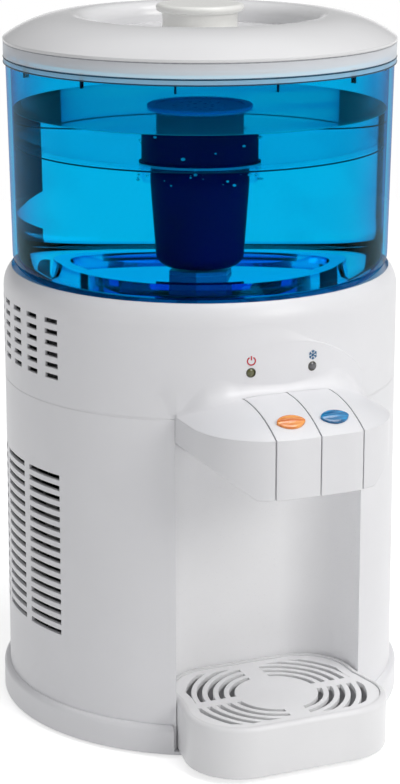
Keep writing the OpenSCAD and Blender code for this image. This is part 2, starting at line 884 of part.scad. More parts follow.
// Front outline, set in by t, with a flat keel and cheeks that fall away
module beak_front(t) {
  rise = cheek_corner_z - beak_bottom_z;
  lean = atan2(rise, beak_half - keel_w / 2);
  keel = keel_w / 2 - t * tan(lean / 2);
  cheek = cheek_corner_z + t * tan(45 - lean / 2);
  side = beak_half - t + (t > 0 ? 0 : eps);
  polygon([
    [-keel, beak_bottom_z + t], [keel, beak_bottom_z + t],
    [side, cheek], [side, far], [-side, far], [-side, cheek]
  ]);
}

module beak_block(t) {
  intersection() {
    beak_form(t);
    rotate([90, 0, 0]) linear_extrude(far) beak_front(t);
  }
}

// Space that the two levers take out of the beak
lever_x0 = lever_gap / 2;
lever_mid = lever_x0 + lever_w / 2;
channel_half = lever_x0 + lever_w + lever_gap;
lever_back = 6;
lever_back_y = -body_r - lever_back;
floor_back = 14;
front_floor_y = -beak_reach + floor_back;
hinge_rib = 2.6;
rib_out = channel_half + hinge_rib;

module lever_channel() {
  difference() {
    block([-channel_half, -far, beak_bottom_z - eps], [channel_half, lever_back_y + lever_gap, far]);
    block([-channel_half, front_floor_y, 0], [channel_half, 0, beak_bottom_z + skin]);
  }
}

// Inside of the beak, with ribs left standing beside the levers
module beak_hollow() {
  difference() {
    beak_block(skin);
    both_sides() block([channel_half, -far, 0], [rib_out, -body_r, far]);
  }
}

// Arched panel round the lamps
module arch_panel() {
  intersection() {
    difference() {
      body_core(arch_rise);
      body_core(0);
    }
    translate([0, 0, beak_bottom_z]) rotate([90, 0, 0]) cylinder(r = arch_r, h = far, $fn = 180);
    block([-beak_half, -far, seam_z], [beak_half, 0, far]);
  }
}

// Hinge and taps behind the levers
hinge_back = 11;
hinge_deep = 2;
hinge_y = -body_r - hinge_back;
hinge_z = top_z(hinge_y) - skin - pin_d - hinge_deep;
knuckle_d = pin_d + 5;
web_t = 4;
press_w = 6;
press_t = 3;
tap_x = lever_mid;
tap_h = 25;
tap_d = 18;
tap_gap = 1.4;
lever_arm = beak_out - floor_back - tap_gap - tap_d / 2 - hinge_back;
tap_y = hinge_y - lever_arm;
nozzle_d = 10;
nozzle_l = 3;
tap_top_z = beak_bottom_z + tap_h;
spring_l = 7.6;
button_t = 2.6;
button_d = 14;
plunger_d = 8;
plunger_top_z = tap_top_z + spring_l + button_t;

module front_fascia() {
  color("white") difference() {
    union() {
      difference() {
        beak_block(0);
        beak_hollow();
        lever_channel();
        translate([0, 0, seam_z]) cylinder(r = body_r, h = far, $fn = 180);
        hose_window();
      }
      arch_panel();
    }
    bar_x(pin_d + 2 * run_fit, hinge_y, hinge_z, -rib_out - eps, rib_out + eps);
    both_sides() translate([tap_x, tap_y, beak_bottom_z - eps])
      cylinder(d = nozzle_d + 2 * fit, h = skin + 2 * eps);
    both_sides() led_hole();
  }
}

// Levers: L-shaped shells on the hinge pin, pressed down from above
leaf_place = 12;
leaf_y = -beak_reach + leaf_place;
leaf_sink = 1.2;

// Leaf: the overlap of two discs, h high
module leaf(l, w, h) {
  r = (l * l + w * w) / (4 * w);
  intersection() {
    translate([0, r - w / 2, 0]) cylinder(r = r, h = h, $fn = 180);
    translate([0, w / 2 - r, 0]) cylinder(r = r, h = h, $fn = 180);
  }
}

// Puts a child on the beak's sloping top, at the leaf's place
module on_lever_top() {
  translate([lever_mid, leaf_y, top_z(leaf_y)]) rotate([top_slope(leaf_y), 0, 0]) children();
}

module lever() {
  color("white") difference() {
    union() {
      difference() {
        intersection() {
          beak_block(0);
          block([lever_x0, -far, beak_bottom_z], [lever_x0 + lever_w, lever_back_y, far]);
        }
        beak_form(skin);
      }
      bar_x(knuckle_d, hinge_y, hinge_z, lever_x0 + eps, lever_x0 + lever_w - eps);
      block([lever_x0 + eps, hinge_y - web_t / 2, hinge_z],
            [lever_x0 + lever_w - eps, hinge_y + web_t / 2, top_z(hinge_y) - skin / 2]);
      block([tap_x - press_w / 2, tap_y - press_t / 2, plunger_top_z + fit],
            [tap_x + press_w / 2, tap_y + press_t / 2, top_z(tap_y) - skin / 2]);
    }
    bar_x(pin_d + 2 * run_fit, hinge_y, hinge_z, 0, 2 * lever_w);
    on_lever_top() translate([0, 0, -leaf_sink]) leaf(leaf_l + 2 * run_fit, leaf_w + 2 * run_fit, far);
  }
}

module leaf_insert() {
  groove = 1;
  on_lever_top() translate([0, 0, -leaf_sink]) difference() {
    leaf(leaf_l, leaf_w, leaf_sink + leaf_rise);
    for (k = [-1 : 1]) translate([0, k * leaf_w / 4, leaf_sink + leaf_rise])
      rotate([0, 90, 0]) cylinder(d = groove, h = leaf_l, center = true, $fn = 24);
  }
}

module cold_lever() {
  lever();
}

module ambient_lever() {
  mirror([1, 0, 0]) lever();
}

module cold_insert() {
  color("dodgerblue") leaf_insert();
}

module ambient_insert() {
  color("darkorange") mirror([1, 0, 0]) leaf_insert();
}

module lever_pin() {
  color("silver") bar_x(pin_d, hinge_y, hinge_z, -rib_out, rib_out);
}

// Taps: a valve body on the beak's floor, a plunger under each lever and its spring
stub_l = 10;
stub_d = hose_bore - 2 * run_fit;
stub_bore = stub_d - 3;
nozzle_bore = 6;

module tap() {
  color("whitesmoke") difference() {
    union() {
      translate([tap_x, tap_y, beak_bottom_z + skin])
        cylinder(d = tap_d, h = tap_top_z - beak_bottom_z - skin);
      translate([tap_x, tap_y, beak_bottom_z - nozzle_l]) cylinder(d = nozzle_d, h = nozzle_l + skin + eps);
      bar_y(stub_d, tap_x, tap_z, tap_y, tap_y + tap_d / 2 + stub_l);
    }
    translate([tap_x, tap_y, tap_z - hose_bore / 2]) cylinder(d = plunger_d + 2 * run_fit, h = far);
    translate([tap_x, tap_y, beak_bottom_z - nozzle_l - eps])
      cylinder(d = nozzle_bore, h = tap_z - beak_bottom_z);
    bar_y(stub_bore, tap_x, tap_z, tap_y, tap_y + tap_d / 2 + stub_l + eps);
  }
}

module cold_tap() {
  tap();
}

module ambient_tap() {
  mirror([1, 0, 0]) tap();
}

module plunger() {
  color("gainsboro") translate([tap_x, tap_y, 0]) {
    translate([0, 0, plunger_top_z - button_t]) cylinder(d = button_d, h = button_t);
    translate([0, 0, tap_z + hose_bore / 2])
      cylinder(d = plunger_d, h = plunger_top_z - tap_z - hose_bore / 2);
  }
}

module cold_plunger() {
  plunger();
}

module ambient_plunger() {
  mirror([1, 0, 0]) plunger();
}

// Springs: one wire wound into a helix between the tap and the plunger's button
spring_wire = 0.8;
spring_turns = 4;
spring_room = 0.25;
spring_d = 11;
rings_per_turn = 8;
wire_sides = 6;
spring_rise = spring_l - 2 * spring_room - spring_wire;

function coil_point(u) = [
  spring_d / 2 * cos(360 * spring_turns * u),
  spring_d / 2 * sin(360 * spring_turns * u),
  tap_top_z + spring_room + spring_wire / 2 + spring_rise * u
];
function wire_point(u, a) = coil_point(u) + spring_wire / 2 * [
  cos(a) * cos(360 * spring_turns * u), cos(a) * sin(360 * spring_turns * u), sin(a)
];

module spring() {
  rings = spring_turns * rings_per_turn;
  points = [for (i = [0 : rings], s = [0 : wire_sides - 1]) wire_point(i / rings, 360 * s / wire_sides)];
  sides = [for (i = [0 : rings - 1], s = [0 : wire_sides - 1])
    let (a = i * wire_sides + s, b = i * wire_sides + (s + 1) % wire_sides)
      each [[a, a + wire_sides, b], [b, a + wire_sides, b + wire_sides]]];
  last = rings * wire_sides;
  caps = [for (s = [1 : wire_sides - 2]) each [[0, s, s + 1], [last, last + s + 1, last + s]]];
  color("silver") translate([tap_x, tap_y, 0]) polyhedron(points, concat(sides, caps));
}
echo(spring_gap = spring_rise / spring_turns - spring_wire);

module cold_spring() {
  spring();
}

module ambient_spring() {
  mirror([1, 0, 0]) spring();
}

// Receiver: the cup under the seat that the tank's spigot plugs into
receiver_h = 41;
receiver_z = seat_z - receiver_h;
receiver_floor = 3;
receiver_wall = 2;
receiver_flange = 4;
receiver_lip = 10;
spigot_room = 4;
feed_x = 10;
feed_y = 4;
ambient_y = -8;

module receiver_stub(x, y) {
  translate([x, y, receiver_z - stub_l]) cylinder(d = stub_d, h = stub_l + eps);
}

module stub_hole(x, y) {
  translate([x, y, receiver_z - stub_l - eps]) cylinder(d = stub_bore, h = stub_l + receiver_floor + 2 * eps);
}

module water_receiver() {
  chamber_z = receiver_z + receiver_floor;
  lip_z = spigot_z - spigot_room;
  color("whitesmoke") difference() {
    union() {
      translate([0, 0, receiver_z]) cylinder(d = receiver_d, h = receiver_h);
      translate([0, 0, seat_z - wall - receiver_flange])
        cylinder(d = receiver_d + 2 * receiver_lip, h = receiver_flange);
      receiver_stub(feed_x, feed_y);
      receiver_stub(-tap_x, ambient_y);
    }
    translate([0, 0, lip_z]) cylinder(d = spigot_d + 2 * seal_proud + 4 * run_fit, h = far);
    translate([0, 0, chamber_z])
      cylinder(d = receiver_d - 2 * receiver_wall, h = lip_z - chamber_z - receiver_floor);
    translate([0, 0, chamber_z]) cylinder(d = spigot_d - spigot_room, h = far);
    stub_hole(feed_x, feed_y);
    stub_hole(-tap_x, ambient_y);
  }
}

// Hoses: a straight drop, a quarter turn and a level run, turn is the angle at which the turn starts
hose_bend = 15;

module hose_run(d, x, y, z_end, z_level, y_end, turn) {
  up = z_end > z_level ? 1 : -1;
  out = y_end > y ? 1 : -1;
  z_mid = z_level + up * hose_bend;
  y_mid = y + out * hose_bend;
  translate([x, y, min(z_end, z_mid)]) cylinder(d = d, h = abs(z_end - z_mid));
  translate([x, y_mid, z_mid]) rotate([90, 0, 90]) rotate([0, 0, turn])
    rotate_extrude(angle = 90) translate([hose_bend, 0]) circle(d = d);
  bar_y(d, x, z_level, min(y_mid, y_end), max(y_mid, y_end));
}

module hose(x, y, z_end, z_level, y_end, turn) {
  color("lightgray") difference() {
    hose_run(hose_d, x, y, z_end, z_level, y_end, turn);
    hose_run(hose_bore, x, y, z_end, z_level, y_end, turn);
  }
}

module feed_hose() {
  color("lightgray") translate([feed_x, feed_y, foam_top_z + fit])
    tube(hose_d, hose_bore, receiver_z - fit - foam_top_z - fit);
}

module ambient_hose() {
  hose(-tap_x, ambient_y, receiver_z - fit, tap_z, tap_y + tap_d / 2 + fit, 270);
}

module cold_hose() {
  hose(tap_x, cold_out_y, foam_top_z + fit, tap_z, tap_y + tap_d / 2 + fit, 0);
}

module drain_hose() {
  mirror([0, 1, 0]) hose(drain_x, -drain_y, foam_z - fit, drain_z, -drain_flange_y + fit, 270);
}

// Cold tank in its foam jacket, on posts that rise from the base
cool_x = 20;
cool_y = 8;
cold_lift = 8;
cold_wall = 1.2;
foam_z = floor_z + foam_lift;
cold_z = foam_z + cold_lift;
cold_top_z = cold_z + cold_h;
cool_z = cold_z + cold_h / 2;
foam_lid = 10;
foam_top_z = cold_top_z + foam_lid;
foam_r = cold_d / 2 + foam_t;
pipe_place = 22;
cold_out_y = cool_y - pipe_place;
drain_place = 16;
drain_x = cool_x + drain_place;
drain_y = cool_y + drain_place;
post_d = 12;

module post_spots() {
  for (a = [-30, 90, 210]) translate([cool_x, cool_y, 0]) rotate([0, 0, a])
    translate([cold_d / 2, 0, 0]) children();
}

// Pipes of the cold tank, with the diameter d and longer by more at each end
module cold_pipes(d, more) {
  translate([feed_x, feed_y, cold_top_z - more]) cylinder(d = d, h = foam_lid + stub_l + 2 * more);
  translate([tap_x, cold_out_y, cold_top_z - more])
    cylinder(d = d, h = tap_z - hose_bend - cold_top_z + 2 * more);
  translate([drain_x, drain_y, foam_z - stub_l - more]) cylinder(d = d, h = cold_lift + stub_l + 2 * more);
}

module cold_tank() {
  color("silver") difference() {
    union() {
      translate([cool_x, cool_y, cold_z]) cylinder(d = cold_d, h = cold_h);
      cold_pipes(stub_d, eps);
    }
    translate([cool_x, cool_y, cold_z + cold_wall])
      cylinder(d = cold_d - 2 * cold_wall, h = cold_h - 2 * cold_wall);
    cold_pipes(stub_bore, cold_wall + eps);
  }
}

module foam_jacket() {
  color("lightyellow") difference() {
    translate([cool_x, cool_y, foam_z]) cylinder(r = foam_r, h = foam_top_z - foam_z);
    translate([cool_x, cool_y, cold_z - run_fit])
      cylinder(d = cold_d + 4 * run_fit, h = cold_h + 2 * run_fit);
    cold_pipes(stub_d + 2 * fit, foam_lid);
    block([-far, cool_y - module_w / 2 - fit, cool_z - module_w / 2 - fit],
          [cool_x, cool_y + module_w / 2 + fit, cool_z + module_w / 2 + fit]);
  }
}

// Thermoelectric stack from the cold tank out to the left side's vents
block_out = 4;
block_in = 8;
block_x = cool_x - foam_r - block_out;
module_t = 4;
sink_base = 6;
sink_fin = 26;
sink_x = block_x - module_t - sink_base;
fan_x = sink_x - sink_fin;

// A square block centred on the stack's axis from x0 to x1
module stack_block(w, x0, x1) {
  block([x0, cool_y - w / 2, cool_z - w / 2], [x1, cool_y + w / 2, cool_z + w / 2]);
}

module cold_block() {
  color("silver") difference() {
    stack_block(module_w, block_x, cool_x - cold_d / 2 + block_in);
    translate([cool_x, cool_y, cold_z]) cylinder(d = cold_d + 4 * run_fit, h = cold_h);
  }
}

module peltier_module() {
  color("white") stack_block(module_w, block_x - module_t, block_x);
}

module heat_sink() {
  pitch = (sink_w - fin_t) / (fin_count - 1);
  color("darkgray") {
    stack_block(sink_w, sink_x, sink_x + sink_base);
    for (k = [0 : fin_count - 1]) translate([0, cool_y - sink_w / 2 + k * pitch, cool_z - sink_w / 2])
      block([sink_x - sink_fin, 0, 0], [sink_x + eps, fin_t, sink_w]);
  }
}

// Fan: a square frame with a hub on struts, and a bladed rotor on its shaft
fan_wall = 3;
fan_bore = fan_w - 2 * fan_wall;
fan_hub = 34;
hub_t = 4;
strut_w = 4;
shaft_d = 3;
rotor_room = 2;
rotor_t = fan_t - hub_t - rotor_room - 1;
blade_t = 1.6;
blade_pitch = 40;
blade_tip = 1.5;

module on_fan_axis() {
  translate([fan_x, cool_y, cool_z]) rotate([0, -90, 0]) children();
}

module fan_frame() {
  color("dimgray") on_fan_axis() difference() {
    union() {
      difference() {
        translate([-fan_w / 2, -fan_w / 2, 0]) cube([fan_w, fan_w, fan_t]);
        translate([0, 0, -eps]) cylinder(d = fan_bore, h = fan_t + 2 * eps);
      }
      translate([0, 0, fan_t - hub_t]) {
        cylinder(d = fan_hub, h = hub_t);
        for (a = [45 : 90 : 315]) rotate([0, 0, a]) translate([0, -strut_w / 2, 0])
          cube([fan_bore / 2 + eps, strut_w, hub_t]);
      }
    }
    translate([0, 0, fan_t - hub_t - eps]) cylinder(d = shaft_d + 2 * run_fit, h = far);
  }
}

module fan_rotor() {
  color("black") on_fan_axis() translate([0, 0, rotor_room]) {
    cylinder(d = fan_hub, h = rotor_t);
    cylinder(d = shaft_d, h = fan_t - rotor_room - 1);
    intersection() {
      for (k = [0 : blade_count - 1]) rotate([0, 0, k * 360 / blade_count])
        translate([fan_hub / 2 - 2 * eps, 0, rotor_t / 2]) rotate([blade_pitch, 0, 0])
          translate([0, -blade_t / 2, -rotor_t]) cube([fan_bore, blade_t, 2 * rotor_t]);
      cylinder(d = fan_bore - 2 * blade_tip, h = rotor_t);
    }
  }
}

// Power supply: an upright board standing on the base's floor
supply_gap = 6;
supply_inset = 43;
supply_x = max(cool_x + foam_r + supply_gap, body_r - supply_inset);
supply_face = supply_x + board_t;
supply_w = 72;
supply_h = 92;
coil_w = 32;
coil_t = 24;
can_d = 16;
can_l = 22;
fin_plate = 3;

module power_supply() {
  color("darkgreen") translate([supply_x, -supply_w / 2, floor_z]) cube([board_t, supply_w, supply_h]);
  color("goldenrod") translate([supply_face, -coil_w, floor_z + coil_w / 2]) cube([coil_t, coil_w, coil_w]);
  color("black") for (k = [1 : 2])
    bar_x(can_d, can_d, floor_z + k * 1.4 * can_d, supply_face, supply_face + can_l);
  color("silver") translate([supply_face, -coil_w, floor_z + 2 * coil_w])
    cube([can_l, 2 * coil_w, fin_plate]);
}

// Rear fittings: the mains inlet, a rocker switch and the drain
inlet_w = 28;
inlet_h = 20;
inlet_deep = 22;
inlet_wall = 3;
socket_deep = 16;
contact_d = 3;
contact_l = 9;
contact_x = 5;
plate_t = 2;
inlet_low_z = rear_z - inlet_h / 2 - inlet_wall;
inlet_y = outer_r(inlet_low_z);

// A block centred on x = 0 and on the height z, w wide, h high, from y0 to y1
module rear_block(w, h, z, y0, y1) {
  block([-w / 2, y0, z - h / 2], [w / 2, y1, z + h / 2]);
}

module power_inlet() {
  color("black") {
    difference() {
      union() {
        rear_block(inlet_w + 2 * inlet_wall, inlet_h + 2 * inlet_wall, rear_z, inlet_y, inlet_y + plate_t);
        rear_block(inlet_w, inlet_h, rear_z, inlet_y - inlet_deep, inlet_y + eps);
      }
      rear_block(inlet_w - 2 * inlet_wall, inlet_h - 2 * inlet_wall, rear_z, inlet_y - socket_deep, far);
    }
    for (s = [-1, 1])
      bar_y(contact_d, s * contact_x, rear_z, inlet_y - socket_deep - eps, inlet_y - socket_deep + contact_l);
  }
}

rocker_w = 14;
rocker_h = 21.2;
rocker_rise = 36;
rocker_room = 1.6;
rocker_out = 6;
rocker_dip = 1.4;
rocker_in = 4;
rocker_tilt = 8;
bezel_wall = 2;
bezel_lip = 5;
bezel_deep = 14;
pivot_deep = 4;
pivot_d = 3;
pivot_l = 0.8;
switch_z = rear_z + rocker_rise;
bezel_y = outer_r(switch_z - rocker_h / 2 - bezel_lip);
pivot_y = bezel_y - pivot_deep;

module switch_bezel() {
  color("dimgray") difference() {
    union() {
      rear_block(rocker_w + 2 * bezel_lip, rocker_h + 2 * bezel_lip, switch_z, bezel_y, bezel_y + plate_t);
      rear_block(rocker_w + 2 * bezel_wall, rocker_h + 2 * bezel_wall, switch_z,
                 bezel_y - bezel_deep, bezel_y + eps);
    }
    rear_block(rocker_w, rocker_h, switch_z, bezel_y - bezel_deep + bezel_wall, far);
    bar_x(pivot_d + 2 * run_fit, pivot_y, switch_z,
          -rocker_w / 2 - pivot_l - fit, rocker_w / 2 + pivot_l + fit);
  }
}

module switch_rocker() {
  half = rocker_h / 2 - rocker_room;
  low = half - rocker_in / 2;
  color("black") translate([0, pivot_y, switch_z]) rotate([rocker_tilt, 0, 0]) {
    translate([-rocker_w / 2 + fit, 0, 0]) rotate([90, 0, 90]) linear_extrude(rocker_w - 2 * fit) polygon([
      [-rocker_in, -low], [rocker_out, -half], [rocker_out - rocker_dip, 0],
      [rocker_out, half], [-rocker_in, low]
    ]);
    bar_x(pivot_d, 0, 0, -rocker_w / 2 - pivot_l, rocker_w / 2 + pivot_l);
  }
}

drain_d = 14;
drain_bore = 8;
drain_lip = 3;
drain_flange_t = 4;
plug_d = drain_d + 4;
plug_t = 3;
drain_rise = 12;
drain_z = base_h + drain_rise;
drain_out_y = sqrt(pow(foot_r, 2) - pow(drain_x - plug_d / 2, 2)) + fit;
drain_far = drain_d / 2 + drain_lip;
drain_wall_r = outer_r(drain_z + drain_far) - wall;
drain_flange_y = sqrt(pow(drain_wall_r, 2) - pow(drain_x + drain_far, 2)) - drain_flange_t;

module drain_spout() {
  color("whitesmoke") difference() {
    union() {
      bar_y(drain_d, drain_x, drain_z, drain_flange_y, drain_out_y);
      bar_y(2 * drain_far, drain_x, drain_z, drain_flange_y, drain_flange_y + drain_flange_t);
      bar_y(stub_d, drain_x, drain_z, drain_flange_y - stub_l, drain_flange_y + eps);
    }
    bar_y(drain_bore, drain_x, drain_z, drain_flange_y + drain_flange_t / 2, far);
    bar_y(stub_bore, drain_x, drain_z, 0, drain_flange_y + drain_flange_t);
  }
}

module drain_cap() {
  color("dimgray") {
    bar_y(plug_d, drain_x, drain_z, drain_out_y, drain_out_y + plug_t);
    bar_y(drain_bore - 2 * fit, drain_x, drain_z, drain_flange_y + drain_flange_t, drain_out_y + eps);
  }
}

placed() lid();
placed() lid_knob();
placed() upper_bowl();
placed() filter_cap();
placed() filter_cartridge();
placed() filter_seal();
placed() filter_nut();
placed() water_tank();
placed() tank_outlet();
placed() outlet_seal();
placed() upper_housing();
placed() front_fascia();
placed() lower_housing();
placed() alcove_liner();
placed() base();
placed() rubber_feet();
placed() base_screws();
placed() drip_tray();
placed() drip_grille();
placed() ambient_lever();
placed() cold_lever();
placed() ambient_insert();
placed() cold_insert();
placed() lever_pin();
placed() ambient_tap();
placed() cold_tap();
placed() ambient_plunger();
placed() cold_plunger();
placed() ambient_spring();
placed() cold_spring();
placed() power_led();
placed() cold_led();
placed() control_board();
placed() water_receiver();
placed() feed_hose();
placed() ambient_hose();
placed() cold_hose();
placed() drain_hose();
placed() cold_tank();
placed() foam_jacket();
placed() cold_block();
placed() peltier_module();
placed() heat_sink();
placed() fan_frame();
placed() fan_rotor();
placed() power_supply();
placed() power_inlet();
placed() switch_bezel();
placed() switch_rocker();
placed() drain_spout();
placed() drain_cap();
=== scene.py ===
import json
import math

import bmesh
import bpy
from mathutils import Matrix, Vector

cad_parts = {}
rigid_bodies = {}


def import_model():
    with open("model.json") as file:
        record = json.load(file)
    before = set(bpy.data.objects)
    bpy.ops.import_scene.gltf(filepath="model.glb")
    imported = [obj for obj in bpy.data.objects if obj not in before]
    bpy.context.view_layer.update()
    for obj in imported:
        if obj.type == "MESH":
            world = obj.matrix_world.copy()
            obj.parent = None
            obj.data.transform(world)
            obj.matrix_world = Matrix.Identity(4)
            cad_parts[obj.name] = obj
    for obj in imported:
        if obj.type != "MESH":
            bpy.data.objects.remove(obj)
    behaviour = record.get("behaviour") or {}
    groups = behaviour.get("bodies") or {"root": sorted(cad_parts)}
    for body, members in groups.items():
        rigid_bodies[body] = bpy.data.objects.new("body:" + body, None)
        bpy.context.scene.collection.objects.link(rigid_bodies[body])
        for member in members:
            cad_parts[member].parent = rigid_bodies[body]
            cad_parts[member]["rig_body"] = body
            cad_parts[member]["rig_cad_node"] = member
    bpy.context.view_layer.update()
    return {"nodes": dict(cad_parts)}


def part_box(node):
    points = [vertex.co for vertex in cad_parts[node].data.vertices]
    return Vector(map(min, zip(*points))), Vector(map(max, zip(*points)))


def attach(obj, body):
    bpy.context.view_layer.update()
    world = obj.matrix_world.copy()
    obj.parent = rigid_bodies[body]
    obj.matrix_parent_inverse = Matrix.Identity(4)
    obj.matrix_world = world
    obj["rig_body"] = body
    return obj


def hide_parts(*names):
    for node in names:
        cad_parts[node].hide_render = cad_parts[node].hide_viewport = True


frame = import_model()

nodes = frame["nodes"]
scene = bpy.context.scene


# Studio. A round pale table top in a white room, with a broad soft lamp high on the right, a weak one
# low on the left and one from above. A dark strip of the wall and a dark card are seen only through
# clear things, and the room is dimmer half way up, seen only in gloss.
def feed(tree, socket, value):
    """Links a node or a socket to the socket, or sets a plain value on it."""
    if isinstance(value, bpy.types.Node):
        value = value.outputs[0]
    if isinstance(value, bpy.types.NodeSocket):
        tree.links.new(value, socket)
    elif value is not None:
        socket.default_value = value


def add(tree, kind, *values, make=None, **sockets):
    """One shader node. Values go to its inputs in order, sockets by name."""
    made = tree.nodes.new("ShaderNode" + kind)
    for key, value in (make or {}).items():
        setattr(made, key, value)
    for socket, value in zip(made.inputs, values):
        feed(tree, socket, value)
    for key, value in sockets.items():
        feed(tree, made.inputs[key.replace("_", " ")], value)
    return made


def maths(tree, operation, *values):
    return add(tree, "Math", *values, make={"operation": operation})


def ramp(tree, value, *stops):
    """A colour ramp of (position, colour) stops."""
    made = add(tree, "ValToRGB", value)
    elements = made.color_ramp.elements
    while len(elements) < len(stops):
        elements.new(0.5)
    for element, (position, colour) in zip(elements, stops):
        element.position = position
        element.color = (*colour, 1)
    return made


def mixed(tree, share, first, second):
    """One colour turning into another. Each is a colour, a node or a socket."""
    made = add(tree, "Mix", share, make={"data_type": "RGBA"})
    feed(tree, made.inputs[6], first)
    feed(tree, made.inputs[7], second)
    return made.outputs[2]


def blank(name):
    """A new material's empty node tree with its output."""
    mat = bpy.data.materials.new(name)
    mat.use_nodes = True
    mat.node_tree.nodes.clear()
    return mat, mat.node_tree, add(mat.node_tree, "OutputMaterial").inputs["Surface"]


def shown(tree):
    """1 where the camera looks, straight, in a mirror or through glass; 0 for the light on things."""
    path = add(tree, "LightPath").outputs
    straight = maths(tree, "MAXIMUM", path["Is Camera Ray"], path["Is Glossy Ray"])
    return maths(tree, "MAXIMUM", straight, path["Is Transmission Ray"])


def lamp(name, place, aim, size, power, colour):
    bpy.ops.object.light_add(type="AREA", location=place)
    light = bpy.context.object
    light.name = name
    light.rotation_euler = (Vector(aim) - Vector(place)).to_track_quat("-Z", "Y").to_euler()
    light.data.shape = "DISK"
    light.data.size = size
    light.data.energy = power
    light.data.color = colour


bpy.ops.object.select_all(action="DESELECT")
bpy.ops.object.camera_add(
    location=(-0.5505, -1.2723, 0.591), rotation=(math.radians(74.41), 0, math.radians(-23)))
camera = bpy.context.object
camera.data.lens = 103.8
camera.data.sensor_width = 36
camera.data.clip_end = 50
scene.camera = camera
scene.view_settings.view_transform = "Standard"

body_middle, foot_middle = (0, 0.02, 0.25), (0, 0.02, 0.10)
lamp("key_lamp", (0.88, -1.82, 1.3), body_middle, 1.1, 16.5, (1, 0.99, 0.97))
lamp("fill_lamp", (-1.8, -0.7, 0.3), foot_middle, 1.2, 2.5, (0.95, 0.96, 1))
lamp("top_lamp", (0.40, -0.50, 2.0), body_middle, 1.2, 15.0, (1, 1, 1))

world = bpy.data.worlds.new("studio_air")
scene.world = world
world.use_nodes = True
tree = world.node_tree
tree.nodes.clear()
level = add(tree, "MapRange", shown(tree), 0.0, 1.0, 0.38, 1.0)
heading = add(tree, "SeparateXYZ", add(tree, "TexCoord").outputs["Generated"]).outputs
bearing = maths(tree, "ARCTAN2", heading["X"], heading["Y"])
path = add(tree, "LightPath").outputs
strip = [(-180, 1), (-40, 1), (-38, 0.02), (-28, 0.02), (-26, 1)]
stops = [((turn + 180) / 360, (tone, tone, min(1, tone * 1.3))) for turn, tone in strip]
wall = ramp(tree, add(tree, "MapRange", bearing, -math.pi, math.pi, 0.0, 1.0), *stops)
seen_through = mixed(tree, path["Is Transmission Ray"], (1, 1, 1, 1), wall)
dim = [(0.03, 1), (0.08, 0.3), (0.6, 0.3), (0.85, 1)]
mirrored = ramp(tree, heading["Z"], *[(height, (tone, tone, tone)) for height, tone in dim])
gloss = maths(tree, "SUBTRACT", path["Is Glossy Ray"], path["Is Transmission Ray"])
air = add(tree, "Background", mixed(tree, gloss, seen_through, mirrored), level)
feed(tree, add(tree, "OutputWorld").inputs["Surface"], air)

bpy.ops.mesh.primitive_circle_add(vertices=96, radius=1.75, fill_type="NGON", location=(0, 0, 0))
floor = bpy.context.object
floor.name = "studio_floor"
mat, tree, surface = blank("studio_floor")
paper = add(tree, "BsdfDiffuse", (0.84, 0.84, 0.84, 1))
shine = add(tree, "Emission", (1, 1, 1, 1), maths(tree, "MULTIPLY", shown(tree), 0.6))
feed(tree, surface, add(tree, "AddShader", paper, shine))
floor.data.materials.append(mat)

bpy.ops.object.select_all(action="DESELECT")
bpy.ops.mesh.primitive_plane_add(
    size=1, location=(0.461, 0.2607, 0.347), rotation=(math.radians(90), 0, math.radians(-78)))
card = bpy.context.object
card.name = "dark_card"
card.scale = (0.33, 0.206, 1)
mat, tree, surface = blank("dark_card")
feed(tree, surface, add(tree, "BsdfDiffuse", (0.07, 0.07, 0.10, 1)))
card.data.materials.append(mat)
card.visible_camera = card.visible_diffuse = card.visible_glossy = card.visible_shadow = False


# Body shells. The upper and lower housings and the base ring are injection moulded in white plastic
# with a fine grain and snap together. A lip stands in the groove where they meet and one at each edge
# of the alcove. The inside of the wall behind the vents is painted near black, a painted shade for the
# shadow in there.
AXIS_Y = 0.0247


def moulded(name, colour, rough, edge=0.0007, grain=0.02, vary=0.03, metal=0.0, coat=0.0, spec=0.5,
            scale=1200.0, painted_shade_inside=False):
    """Moulded or cast stuff: two near shades in slow clouds, a fine grain and rounded edges."""
    mat, tree, surface = blank(name)
    spot = add(tree, "TexCoord").outputs["Object"]
    clouds = add(tree, "TexNoise", Vector=spot, Scale=14.0, Detail=3.0)
    tint = ramp(tree, clouds, (0.35, [c * (1 - vary) for c in colour]), (0.65, colour))
    # Painted shade: inside the wall, beside the vents and below the top, the colour turns near black.
    if painted_shade_inside:
        flat = add(tree, "Mapping", spot, (0, -AXIS_Y, 0), (0, 0, 0), (1, 1, 0))
        reach = add(tree, "VectorMath", flat, make={"operation": "LENGTH"}).outputs["Value"]
        place = add(tree, "SeparateXYZ", spot).outputs
        inner = add(tree, "MapRange", reach, 0.1225, 0.1242, 1.0, 0.0)
        side = add(tree, "MapRange", maths(tree, "ABSOLUTE", place["X"]), 0.07, 0.08, 0.0, 1.0)
        below = add(tree, "MapRange", place["Z"], 0.272, 0.276, 1.0, 0.0)
        painted_shade_mask = maths(tree, "MULTIPLY", maths(tree, "MULTIPLY", inner, side), below)
        tint = mixed(tree, painted_shade_mask, tint, (0.02, 0.02, 0.024, 1))
    fine = add(tree, "TexNoise", Vector=spot, Scale=scale, Detail=2.0)
    dull = add(tree, "MapRange", fine, 0.3, 0.7, rough * 0.9, rough * 1.12)
    soft = add(tree, "Bevel", make={"samples": 4}, Radius=edge)
    bump = add(tree, "Bump", Strength=grain, Distance=0.0002, Height=fine, Normal=soft)
    skin = add(tree, "BsdfPrincipled", Base_Color=tint, Roughness=dull, Normal=bump, Metallic=metal,
               Coat_Weight=coat, Coat_Roughness=0.08, Specular_IOR_Level=spec)
    feed(tree, surface, skin)
    return mat


def dress(mat, *names):
    """The material on each slot of the named CAD nodes."""
    for name in names:
        for slot in nodes[name].material_slots:
            slot.material = mat


def finished(obj, mat, body):
    """A new piece gets its material and the body that it moves with."""
    obj.data.materials.clear()
    obj.data.materials.append(mat)
    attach(obj, body)


